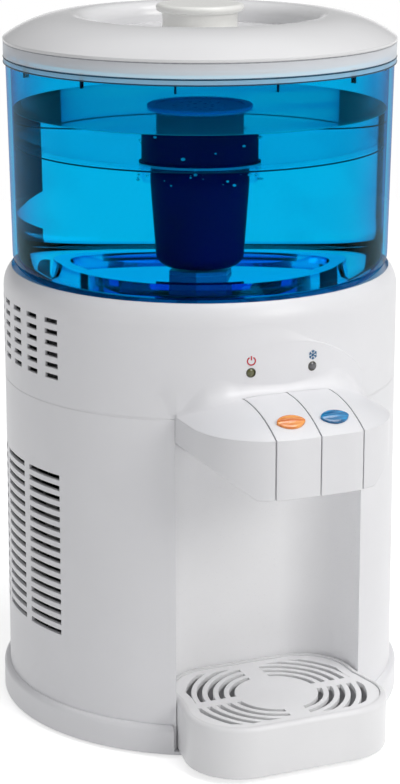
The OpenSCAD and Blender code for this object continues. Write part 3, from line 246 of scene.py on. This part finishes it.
def swept(name, place, along, around):
    """A grid laid along a path: place(u, v) gives each point, and v runs once round the section."""
    bpy.ops.object.select_all(action="DESELECT")
    bpy.ops.mesh.primitive_grid_add(
        x_subdivisions=along, y_subdivisions=around, size=1, location=(0, 0, 0))
    obj = bpy.context.object
    obj.name = obj.data.name = name
    for v in obj.data.vertices:
        v.co = place(v.co.x + 0.5, v.co.y + 0.5)
    bpy.ops.object.mode_set(mode="EDIT")
    bpy.ops.mesh.select_all(action="SELECT")
    bpy.ops.mesh.remove_doubles(threshold=1e-6)
    bpy.ops.mesh.fill_holes(sides=0)
    bpy.ops.mesh.select_all(action="SELECT")
    bpy.ops.mesh.normals_make_consistent(inside=False)
    bpy.ops.object.mode_set(mode="OBJECT")
    bpy.ops.object.shade_smooth_by_angle(angle=math.radians(35))
    return obj


def along_outline(points, v):
    """The point at share v of a closed outline, with the same share for every side."""
    k = min(int(v * len(points)), len(points) - 1)
    part = v * len(points) - k
    (a, b), (c, d) = points[k], points[(k + 1) % len(points)]
    return a + (c - a) * part, b + (d - b) * part


def oblong(a0, a1, b0, b1):
    """The outline of a rectangle from its limits."""
    return [(a0, b0), (a1, b0), (a1, b1), (a0, b1)]


def seam_lip_point(u, v):
    turn = math.radians(-59 + 298 * u)
    r, z = along_outline(oblong(0.1240, 0.1249, 0.21453, 0.21547), v)
    return r * math.cos(turn), AXIS_Y + r * math.sin(turn), z


def alcove_lip(name, side):
    """An upright lip that follows the housing's draft of 1 mm."""
    def point(u, v):
        x, r = along_outline(oblong(0.06226, 0.0660, 0.12504, 0.1243), v)
        r += 0.001 * (1 - u)
        return side * x, AXIS_Y - math.sqrt(r * r - x * x), 0.0203 + 0.1944 * u
    return swept(name, point, 24, 16)


white_colour = (0.81, 0.81, 0.835)
white = moulded("white_gloss", white_colour, 0.34)
# The housings carry painted shade on the inside of their walls behind the vents.
dress(moulded("white_shell", white_colour, 0.34, painted_shade_inside=True), "upper_housing", "lower_housing")
dress(white, "base")
# Painted lift: the liner is paler than the housings' white, against the shade in the alcove under the
# beak.
dress(moulded("white_liner", (0.94, 0.94, 0.955), 0.3, edge=0.0001), "alcove_liner")
blend = moulded("white_blend", white_colour, 0.34, edge=0.00001)
finished(swept("seam_lip", seam_lip_point, 180, 4), blend, "cabinet")
finished(alcove_lip("alcove_lip_left", -1), blend, "cabinet")
finished(alcove_lip("alcove_lip_right", 1), blend, "cabinet")


# Lid. A domed ring round a dish, moulded in one in a silvery white plastic and polished. Its skirt
# drops into the bowl's collar, and a cream knob is screwed to the middle of the dish.
dress(moulded("white_lid", (0.75, 0.75, 0.765), 0.16, grain=0.0), "lid")
dress(moulded("cream_knob", (0.84, 0.84, 0.815), 0.3), "lid_knob")


# Tank. A clear blue jar, blown thin in the wall, with a ridged floor and a bead round its rim. What is
# seen through it is tinted once per face and deeper where the wall is looked along. Below the top of
# its floor the tint is deeper still, partly for the thicker plastic and partly a painted shade. Thin
# dark rings at the bead's edges are painted dark lines, standing in for the dark that refraction draws
# at the clear edges.
def clear(name, tint, deep, rough, haze_z, haze, floor=None):
    """Clear plastic: tinted see-through with a faint reflection, milky above the height haze_z.
    A floor tint, where given, is deeper below the floor's top: partly the thicker plastic, partly painted
    shade."""
    mat, tree, surface = blank(name)
    facing = add(tree, "LayerWeight", 0.5).outputs["Facing"]
    spot = add(tree, "TexCoord").outputs["Object"]
    height = add(tree, "SeparateXYZ", spot).outputs["Z"]
    flow = add(tree, "TexNoise", Vector=spot, Scale=30.0, Detail=2.0)
    drift = add(tree, "MapRange", flow, 0.3, 0.7, -0.04, 0.04)
    along = add(tree, "Math", maths(tree, "POWER", facing, 4.0), drift,
                make={"operation": "ADD", "use_clamp": True})
    tone = mixed(tree, along, (*tint, 1), (*deep, 1))
    # Painted shade, in part: below the floor's top the tint is deeper.
    if floor:
        low = add(tree, "MapRange", height, 0.2868, 0.2885, 1.0, 0.0)
        tone = mixed(tree, low, tone, (*floor, 1))
    through = add(tree, "BsdfTransparent", tone)
    milk = add(tree, "BsdfDiffuse", (*haze[:3], 1))
    milky = add(tree, "MapRange", height, haze_z, haze_z + 0.0004, 0.0, haze[3])
    stuff = add(tree, "MixShader", milky, through, milk)
    shine = add(tree, "BsdfGlossy", Color=(1, 1, 1, 1), Roughness=rough)
    share = add(tree, "MapRange", maths(tree, "POWER", facing, 5.0), 0.0, 1.0, 0.001, 0.3)
    feed(tree, surface, add(tree, "MixShader", share, stuff, shine))
    return mat


def turned(name, profile, steps=144):
    """A profile of (radius, height) pairs, spun round the cooler's own axis."""
    bpy.ops.object.select_all(action="DESELECT")
    bpy.ops.mesh.primitive_plane_add(size=0.001, location=(0, 0, 0))
    obj = bpy.context.object
    obj.name = obj.data.name = name
    bpy.ops.object.mode_set(mode="EDIT")
    bpy.ops.mesh.select_all(action="SELECT")
    bpy.ops.mesh.merge(type="CENTER")
    bpy.ops.transform.translate(value=(profile[0][0], AXIS_Y, profile[0][1]))
    for (r0, z0), (r1, z1) in zip(profile, profile[1:]):
        bpy.ops.mesh.extrude_region_move(TRANSFORM_OT_translate={"value": (r1 - r0, 0, z1 - z0)})
    bpy.ops.mesh.select_all(action="SELECT")
    bpy.ops.mesh.spin(steps=steps, angle=2 * math.pi, center=(0, AXIS_Y, 0), axis=(0, 0, 1))
    bpy.ops.mesh.select_all(action="SELECT")
    bpy.ops.mesh.remove_doubles(threshold=1e-6)
    bpy.ops.mesh.normals_make_consistent(inside=False)
    bpy.ops.object.mode_set(mode="OBJECT")
    bpy.ops.object.shade_smooth_by_angle(angle=math.radians(40))
    return obj


def edge_ring(name, r, z, high):
    """A thin ring round a clear edge, to carry a painted dark line."""
    inner, top = r - 0.0006, z + high
    return turned(name, [(r, z), (r + 0.0002, z + high / 2), (r, top), (inner, top), (inner, z), (r, z)])


TANK_RIM_R = 0.12205
dress(clear("clear_blue", (0.13, 0.81, 0.935), (0.01, 0.2, 0.5), 0.04, 0.4128, (0.46, 0.66, 0.81, 0.6),
            floor=(0.09, 0.68, 0.90)), "water_tank")
# Painted dark lines: this dark material stands in for the dark that refraction draws along clear edges.
painted_refraction_dark = moulded("painted_refraction_dark", (0.008, 0.05, 0.09), 0.4, spec=0.2, vary=0.1)
finished(edge_ring("tank_rim_edge", TANK_RIM_R, 0.4157, 0.0007), painted_refraction_dark, "tank")
finished(edge_ring("tank_bead_edge", TANK_RIM_R, 0.4124, 0.0008), painted_refraction_dark, "tank")


# Bowl. A clear colourless bowl, moulded in one, that hangs in the tank by its flange. Twelve ribs under
# the flange centre it, and its collar holds the lid. Dark blocks at the ribs' ends and a dark ring round
# the bowl's floor are painted dark lines, where refraction darkens the clear edges, and a grey ring round
# the collar is a painted shadow under the lid's edge.
dress(clear("clear_grey", (0.95, 0.965, 0.985), (0.84, 0.92, 0.985), 0.05, 0.4165,
            (0.86, 0.88, 0.92, 0.68)), "upper_bowl")
# Painted shadow: a grey ring round the collar under the lid's edge.
painted_lid_shadow = moulded("painted_lid_shadow", (0.30, 0.31, 0.34), 0.4, vary=0.1)
finished(edge_ring("collar_edge", 0.12195, 0.4251, 0.0007), painted_lid_shadow, "bowl")
# Painted dark line round the bowl's floor, for the dark that refraction draws at its edge.
finished(edge_ring("bowl_floor_edge", 0.1114, 0.3607, 0.0009), painted_refraction_dark, "bowl")
RIBS = 12
# Painted dark: opaque dark blocks at the ribs' ends stand in for the dark of the clear ribs looked at end
# on.
bpy.ops.object.select_all(action="DESELECT")
bpy.ops.mesh.primitive_cube_add(
    size=1, location=(0, AXIS_Y - 0.1152, 0.40995), scale=(0.0011, 0.0011, 0.0056))
ribs = bpy.context.object
ribs.name = ribs.data.name = "rim_rib_ends"
bpy.ops.object.transform_apply(location=True, rotation=True, scale=True)
bpy.ops.object.mode_set(mode="EDIT")
bpy.ops.mesh.select_all(action="SELECT")
bpy.ops.mesh.bevel(offset=0.0002, segments=2, affect="EDGES")
bpy.ops.mesh.select_all(action="SELECT")
last_turn = 2 * math.pi * (RIBS - 1) / RIBS
bpy.ops.mesh.spin(steps=RIBS - 1, dupli=True, angle=last_turn, center=(0, AXIS_Y, 0), axis=(0, 0, 1))
bpy.ops.object.mode_set(mode="OBJECT")
finished(ribs, painted_refraction_dark, "bowl")


# Water. It fills the tank to above the bowl's floor, up to the filter's cap, with a rim that climbs the
# wall a little. Small bubbles of air hang on the filter where it comes through the bowl's floor.
WATER_Z = 0.3838
RIDGE_R = 0.070
water = turned("water", [
    (0, 0.2845), (0.0605, 0.2845), (0.0612, 0.2892), (0.0688, 0.2892), (0.0695, 0.2845),
    (0.1085, 0.2845), (0.1128, 0.2866), (0.1147, 0.2910), (0.1155, 0.3000), (0.1165, WATER_Z),
    (0.1148, WATER_Z - 0.0006), (0, WATER_Z - 0.0006)], 180)


def watery(name, kind, colour, top=False):
    """Water with slow ripples. The top is looked straight through, with a painted sheen: streaks in its
    tint and a pale diffuse share stand in for the far wall reflected in it.
    """
    mat, tree, surface = blank(name)
    spot = add(tree, "TexCoord").outputs["Object"]
    ripple = add(tree, "TexNoise", Vector=spot, Scale=28.0, Detail=2.0)
    bump = add(tree, "Bump", Strength=0.12 if top else 0.02, Distance=0.002, Height=ripple)
    seen = add(tree, kind, Color=(*colour, 1), Roughness=0.0, IOR=1.001 if top else 1.33, Normal=bump)
    if top:
        # Painted sheen: streaks in the top's see-through tint and a pale cyan diffuse share stand in for
        # the far wall reflected in the water's top.
        flow = add(tree, "Mapping", spot, (0, 0, 0), (0, 0, 0.3), (9, 26, 1))
        streaks = add(tree, "TexNoise", Vector=flow, Scale=1.0, Detail=2.0)
        feed(tree, seen.inputs["Color"], ramp(tree, streaks, (0.38, (0.75, 0.75, 0.92)), (0.62, colour)))
        seen = add(tree, "MixShader", 0.35, seen, add(tree, "BsdfDiffuse", (0.45, 1, 1, 1)))
    shade = add(tree, "LightPath").outputs["Is Shadow Ray"]
    lit = add(tree, "BsdfTransparent", (0.94, 0.98, 1, 1))
    feed(tree, surface, add(tree, "MixShader", shade, seen, lit))
    return mat


finished(water, watery("water", "BsdfRefraction", (0.96, 0.99, 1)), "tank")
water.data.materials.append(watery("water_top", "BsdfRefraction", (1, 1, 1), top=True))
# Painted shade: the water's floor faces are tinted deep cyan and those over the ridge deeper, so that the
# tank's floor looks darker and the ridge a dark ring.
water.data.materials.append(watery("water_floor", "BsdfGlass", (0.40, 1, 1)))
water.data.materials.append(watery("water_ridge", "BsdfGlass", (0.12, 0.80, 1)))
for face in water.data.polygons:
    if face.center.z > WATER_Z - 0.001 and face.normal.z > 0.7:
        face.material_index = 1
    elif face.center.z < 0.2915:
        corners = [water.data.vertices[k].co for k in face.vertices]
        reach = max(Vector((co.x, co.y - AXIS_Y)).length for co in corners)
        face.material_index = 3 if reach < RIDGE_R else 2

GOLDEN_TURN = 2.39996
bubbles = []
for k in range(46):
    turn = k * GOLDEN_TURN
    r, z, size = 0.0292, 0.3415 + 0.0080 * (k * 7 % 10) / 9, 0.0003 + 0.00022 * (k % 4)
    if k % 5 == 0:
        r, z, size = 0.0289, 0.357 + 0.014 * (k * 5 % 9) / 8, 0.0006 + 0.0003 * (k % 3)
    place = (r * math.cos(turn), AXIS_Y + r * math.sin(turn), z)
    bpy.ops.object.select_all(action="DESELECT")
    bpy.ops.mesh.primitive_ico_sphere_add(subdivisions=2, radius=size, location=place, scale=(1, 1, 0.85))
    bpy.ops.object.transform_apply(location=True, rotation=True, scale=True)
    bubbles.append(bpy.context.object)


def joined(parts, name):
    """Loose parts made one piece."""
    bpy.ops.object.select_all(action="DESELECT")
    for obj in parts:
        obj.select_set(True)
    bpy.context.view_layer.objects.active = parts[0]
    bpy.ops.object.join()
    parts[0].name = parts[0].data.name = name
    return parts[0]


air_bubbles = joined(bubbles, "air_bubbles")
bpy.ops.object.shade_smooth()
finished(air_bubbles, moulded("bubble", (0.62, 0.80, 0.92), 0.12), "bowl")


# Filter. A tapered navy cartridge of moulded plastic under a perforated cap. A pale seal and a clear
# nut clamp it in the bowl's floor, and the tank's own outlet plugs into the body below it.
dress(moulded("filter_navy", (0.002, 0.003, 0.07), 0.5, vary=0.25, spec=0.04), "filter_cartridge")
dress(moulded("filter_teal", (0.006, 0.46, 0.90), 0.5, vary=0.2, spec=0.1), "filter_cap")
mat, tree, surface = blank("clear_nut")
veil = add(tree, "TexNoise", Vector=add(tree, "TexCoord").outputs["Object"], Scale=60.0)
pale = ramp(tree, veil, (0, (0.75, 0.9, 0.96)), (1, (0.9, 0.97, 1)))
bent = add(tree, "BsdfRefraction", Color=pale, Roughness=0.0, IOR=1.001)
shade = add(tree, "LightPath").outputs["Is Shadow Ray"]
feed(tree, surface, add(tree, "MixShader", shade, bent, add(tree, "BsdfTransparent")))
dress(mat, "filter_nut")
dress(moulded("seal_pale", (0.40, 0.62, 0.76), 0.4, vary=0.1), "filter_seal")
dress(moulded("outlet_blue", (0.01, 0.12, 0.28), 0.3, vary=0.1), "tank_outlet")
rubber = moulded("rubber_dark", (0.02, 0.02, 0.022), 0.6, grain=0.1, vary=0.2)
dress(rubber, "outlet_seal")


# Front fascia. One moulded white shell with the beak, its cheeks and the arched panel round the lamps,
# hooked into the housing. A soft fillet runs along the beak's root, and the panel's edge dies into the
# body in a shallow ramp.
PANEL_R = 0.1258
BEAK_HALF, CHEEK_X = 0.06205, 0.01605
TOP_Z, TOP_R = 0.2312, 0.08257
SUNK = 0.00003


def beak_top(x):
    """Height of the beak's top behind its corners."""
    out = max(abs(x) - CHEEK_X, 0)
    return TOP_Z - TOP_R + math.sqrt(TOP_R ** 2 - out ** 2)


def smooth(value, low, high):
    """0 below low, 1 above high, soft between."""
    t = min(max((value - low) / (high - low), 0), 1)
    return t * t * (3 - 2 * t)


def root_fillet_point(u, v):
    x = (2 * u - 1) * (BEAK_HALF - 0.0003)
    wall = math.sqrt(PANEL_R ** 2 - x * x)
    room = 0.1306 - wall
    size = room + (0.0125 - room) * smooth(abs(x), 0.0270, 0.0400)
    size *= 1 - 0.75 * smooth(abs(x), 0.0450, 0.0618)
    if v < 0.7:
        bend = v / 0.7 * math.pi / 2
        out, up = size * (1 - math.cos(bend)), size * (1 - math.sin(bend))
    else:
        back = [(size, 0), (-0.0012, -0.0012), (-0.0012, size), (0, size)]
        out, up = along_outline(back, (v - 0.7) / 0.4)
    return x, AXIS_Y - wall - out + SUNK, beak_top(x) + up - SUNK


def panel_ramp_point(u, v):
    arch_r, arch_z, foot_z = 0.080, 0.1815, 0.2185
    reach = math.asin(BEAK_HALF / arch_r)
    shoulder = arch_z + arch_r * math.cos(reach)
    half = shoulder - foot_z + arch_r * reach
    s = (2 * u - 1) * half
    if abs(s) < arch_r * reach:
        a = s / arch_r
        x, z, nx, nz = arch_r * math.sin(a), arch_z + arch_r * math.cos(a), math.sin(a), math.cos(a)
    else:
        nx, nz = math.copysign(1, s), 0
        x, z = nx * BEAK_HALF, shoulder - (abs(s) - arch_r * reach)
    left = 1 - smooth(s, -0.020, 0.026)
    wide = 0.0005 + 0.0137 * left - 0.0100 * (1 - smooth(s, -half, -0.060))
    inset = 0.0004 + 0.0008 * left
    start = PANEL_R - 0.00002
    if v < 0.15:
        off, r = -inset * (2.5 - 1.5 * v / 0.15), start + 0.00005 * smooth(v, 0, 0.15)
    elif v < 0.7:
        t = (v - 0.15) / 0.55
        off, r = -inset + (inset + wide) * t, PANEL_R + SUNK - 0.00085 * smooth(t, 0, 1)
    else:
        back = PANEL_R - 0.0016
        under = [(wide, PANEL_R - 0.00082), (wide, back), (-2.5 * inset, back), (-2.5 * inset, start)]
        off, r = along_outline(under, (v - 0.7) / 0.4)
    x, z = x + nx * off, z + nz * off
    return x, AXIS_Y - math.sqrt(r * r - x * x), z


dress(white, "front_fascia")
finished(swept("beak_root_fillet", root_fillet_point, 200, 40), blend, "cabinet")
finished(swept("panel_edge_ramp", panel_ramp_point, 240, 40), blend, "cabinet")


# Levers. Two L-shaped push levers of the same white plastic that continue the beak's surface and turn
# on one steel pin. A domed leaf of glossy plastic with paler streaks is pressed into each.
def streaked(name, low_colour, high_colour):
    """Glossy plastic with streaks of a paler shade along it."""
    mat, tree, surface = blank(name)
    spot = add(tree, "TexCoord").outputs["Object"]
    grain = add(tree, "Mapping", spot, (0, 0, 0), (0, 0, 0.12), (70, 620, 0))
    fibres = add(tree, "TexNoise", Vector=grain, Scale=1.0, Detail=2.0)
    tones = ramp(tree, fibres, (0.36, low_colour), (0.64, high_colour))
    feed(tree, surface, add(tree, "BsdfPrincipled", Base_Color=tones, Roughness=0.18, Coat_Weight=0.5))
    return mat


def leaf(name, side):
    """A pointed leaf, domed and faintly waved, on the slope of its lever's top."""
    def point(u, v):
        a = (2 * u - 1) * 0.998
        narrow = 1 - a * a
        v = 0 if v > 0.99 else v
        if v < 0.751:
            b = 2 * v / 0.75 - 1
            dome = 0.0009 * (1 - b * b) * math.sqrt(narrow)
            up = 0.0001 + dome + 0.00012 * math.cos(b * 7.5) * narrow
        else:
            b, up = 1 - 2 * (v - 0.775) / 0.2, -0.0008
        rise = b * 0.0054 * narrow ** 0.62
        return (side * 0.014 + 0.0089 * a, -0.14266 + 0.910 * rise - 0.414 * up,
                0.22498 + 0.414 * rise + 0.910 * up)
    return swept(name, point, 48, 40)


dress(white, "ambient_lever", "cold_lever")
orange = streaked("ambient_insert", (0.72, 0.17, 0.02), (1.0, 0.42, 0.10))
dress(orange, "ambient_insert")
finished(leaf("ambient_leaf", -1), orange, "ambient_key")
blue = streaked("cold_insert", (0.002, 0.10, 0.26), (0.01, 0.30, 0.66))
dress(blue, "cold_insert")
finished(leaf("cold_leaf", 1), blue, "cold_key")


# Lamps and signs. Two small domed lamps of tinted plastic are pushed into the panel through thin dark
# rings. Over them a red power sign and a blue frost sign are printed on the white.
INK = 0.00016


def laid(parts, name, x, z):
    """Flat parts joined to one piece and laid on the panel, their own Z outwards and their Y up."""
    obj = joined(parts, name)
    turn = math.asin(x / PANEL_R)
    place = Matrix.Translation((x, AXIS_Y - PANEL_R * math.cos(turn), z))
    stand = Matrix.Rotation(turn, 4, "Z") @ Matrix.Rotation(math.pi / 2, 4, "X")
    obj.matrix_world = place @ stand @ obj.matrix_world
    bpy.ops.object.transform_apply(location=True, rotation=True, scale=True)
    return obj


def stroke(length, wide, centre, turn=0.0):
    """A flat printed bar."""
    bpy.ops.object.select_all(action="DESELECT")
    bpy.ops.mesh.primitive_cube_add(
        size=1, location=(*centre, INK / 2), rotation=(0, 0, turn), scale=(wide, length, INK))
    return bpy.context.object


def ring(radius, thick):
    bpy.ops.object.select_all(action="DESELECT")
    bpy.ops.mesh.primitive_torus_add(
        major_radius=radius, minor_radius=thick, major_segments=48, minor_segments=10, location=(0, 0, 0))
    return bpy.context.object


dress(moulded("lamp_olive", (0.10, 0.10, 0.03), 0.15, coat=0.6), "power_led")
dress(moulded("lamp_grey", (0.10, 0.10, 0.11), 0.15, coat=0.6), "cold_led")
ring_dark = moulded("ring_dark", (0.09, 0.085, 0.06), 0.4, vary=0.1)
for name, node in (("power_lamp_ring", "power_led"), ("cold_lamp_ring", "cold_led")):
    low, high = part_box(node)
    x, z = (low[0] + high[0]) / 2, (low[2] + high[2]) / 2
    finished(laid([ring(0.00265, 0.0003)], name, x, z), ring_dark, "cabinet")

sign = ring(0.0024, 0.00042)
bpy.ops.object.mode_set(mode="EDIT")
bpy.ops.mesh.select_all(action="DESELECT")
bpy.ops.object.mode_set(mode="OBJECT")
for v in sign.data.vertices:
    v.co.z = max(min(v.co.z, INK), 0)
    v.select = abs(math.atan2(v.co.x, v.co.y)) < math.radians(26)
bpy.ops.object.mode_set(mode="EDIT")
bpy.ops.mesh.delete(type="VERT")
bpy.ops.mesh.select_all(action="SELECT")
bpy.ops.mesh.fill_holes(sides=0)
bpy.ops.mesh.select_all(action="SELECT")
bpy.ops.mesh.normals_make_consistent(inside=False)
bpy.ops.object.mode_set(mode="OBJECT")
power_sign = laid([sign, stroke(0.0026, 0.0008, (0, 0.0018))], "power_sign", -0.0198, 0.2508)
print_red = moulded("print_red", (0.62, 0.02, 0.04), 0.4, vary=0.1)
finished(power_sign, print_red, "cabinet")

strokes = []
for k in range(3):
    turn = k * math.pi / 3
    strokes.append(stroke(0.0060, 0.00055, (0, 0), turn))
    for way in (1, -1):
        for tip in (1, -1):
            place = Matrix.Rotation(turn, 2) @ Vector((way * 0.00045, tip * 0.0020))
            strokes.append(stroke(0.0015, 0.0005, place, turn - tip * way * math.radians(40)))
print_blue = moulded("print_blue", (0.01, 0.16, 0.36), 0.4, vary=0.1)
finished(laid(strokes, "frost_sign", 0.0204, 0.2506), print_blue, "cabinet")


# Tray. A deep white dish with a rounded rim, moulded in one, that slides into the alcove and carries a
# slotted plate on its ledge. The CAD tray's outer edges are rounded on a copy.
def pick_outer_edges(mesh, z):
    """Selects the edges at height z that the tray's outer wall ends in."""
    middle = Vector((0, sum(v.co.y for v in mesh.verts) / len(mesh.verts), z))
    for edge in mesh.edges:
        level = all(abs(v.co.z - z) < 2e-5 for v in edge.verts)
        outer = any(abs(f.normal.z) < 0.2 and f.normal.dot(f.calc_center_median() - middle) > 0
                    for f in edge.link_faces)
        flat = any(abs(f.normal.z) > 0.9 for f in edge.link_faces)
        edge.select = level and outer and flat


RIM_ROUND, FOOT_ROUND = 0.0030, 0.0016
low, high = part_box("drip_tray")
bpy.ops.object.select_all(action="DESELECT")
tray = nodes["drip_tray"].copy()
tray.data = nodes["drip_tray"].data.copy()
tray.parent = None
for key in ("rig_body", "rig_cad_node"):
    del tray[key]
tray.name = tray.data.name = "tray_shell"
scene.collection.objects.link(tray)
bpy.context.view_layer.objects.active = tray
tray.select_set(True)
bpy.ops.object.mode_set(mode="EDIT")
bpy.ops.mesh.select_all(action="SELECT")
bpy.ops.mesh.remove_doubles(threshold=2e-6)
bpy.ops.mesh.normals_make_consistent(inside=False)
bpy.ops.mesh.dissolve_limited(angle_limit=math.radians(0.5))
for z, size in ((high[2], RIM_ROUND), (low[2], FOOT_ROUND)):
    bpy.ops.mesh.select_mode(type="EDGE")
    bpy.ops.mesh.select_all(action="DESELECT")
    mesh = bmesh.from_edit_mesh(tray.data)
    pick_outer_edges(mesh, z)
    bmesh.update_edit_mesh(tray.data)
    bpy.ops.mesh.bevel(offset=size, segments=6, affect="EDGES", clamp_overlap=True)
bpy.ops.object.mode_set(mode="OBJECT")
bpy.ops.object.shade_smooth_by_angle(angle=math.radians(30))
# Painted lift: the tray is paler than the housings' white, against the shade in the dish under its plate.
finished(tray, moulded("white_tray", (0.85, 0.85, 0.865), 0.34), "tray")
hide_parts("drip_tray")
# Painted lift: the slotted plate is paler still, against the shade in its slots.
dress(moulded("white_grille", (0.94, 0.94, 0.955), 0.34), "drip_grille")


# Taps and hoses. Moulded white valves behind the beak, each with a plunger that its lever pushes in and
# a steel spring that pushes it back. Soft clear hoses are slipped over their spigots.
steel = moulded("steel", (0.55, 0.55, 0.56), 0.28, metal=1.0)
valve_white = moulded("valve_white", (0.74, 0.74, 0.72), 0.4)
dress(valve_white, "ambient_tap", "cold_tap", "ambient_plunger", "cold_plunger", "water_receiver")
dress(steel, "lever_pin", "ambient_spring", "cold_spring")
hose_clear = moulded("hose_clear", (0.72, 0.76, 0.76), 0.3)
dress(hose_clear, "feed_hose", "ambient_hose", "cold_hose", "drain_hose")


# Cooling unit. A steel tank in a foam jacket is chilled by a thermoelectric module, clamped between a
# block and a finned sink of aluminium. A black fan behind the vents blows through the fins.
black_plastic = moulded("black_plastic", (0.015, 0.015, 0.016), 0.45)
dress(steel, "cold_tank")
dress(moulded("foam", (0.52, 0.50, 0.44), 0.9, grain=0.5, vary=0.1, scale=300.0), "foam_jacket")
dress(moulded("aluminium", (0.60, 0.61, 0.62), 0.35, metal=1.0), "cold_block", "heat_sink")
dress(moulded("module_white", (0.7, 0.7, 0.68), 0.5), "peltier_module")
dress(black_plastic, "fan_frame", "fan_rotor")


# Boards, inlet and drain. Two green circuit boards, a black mains inlet and rocker switch snapped into
# the back, and a white drain spout with a grey plug pushed into it.
dress(moulded("board_green", (0.01, 0.09, 0.03), 0.4), "control_board", "power_supply")
dress(black_plastic, "power_inlet", "switch_bezel", "switch_rocker")
dress(valve_white, "drain_spout")
dress(moulded("grey_plastic", (0.3, 0.3, 0.31), 0.45), "drain_cap")


# Screws and feet. Four steel screws hold the base to the lower housing, and four rubber feet are
# pressed into its floor.
dress(steel, "base_screws")
dress(rubber, "rubber_feet")
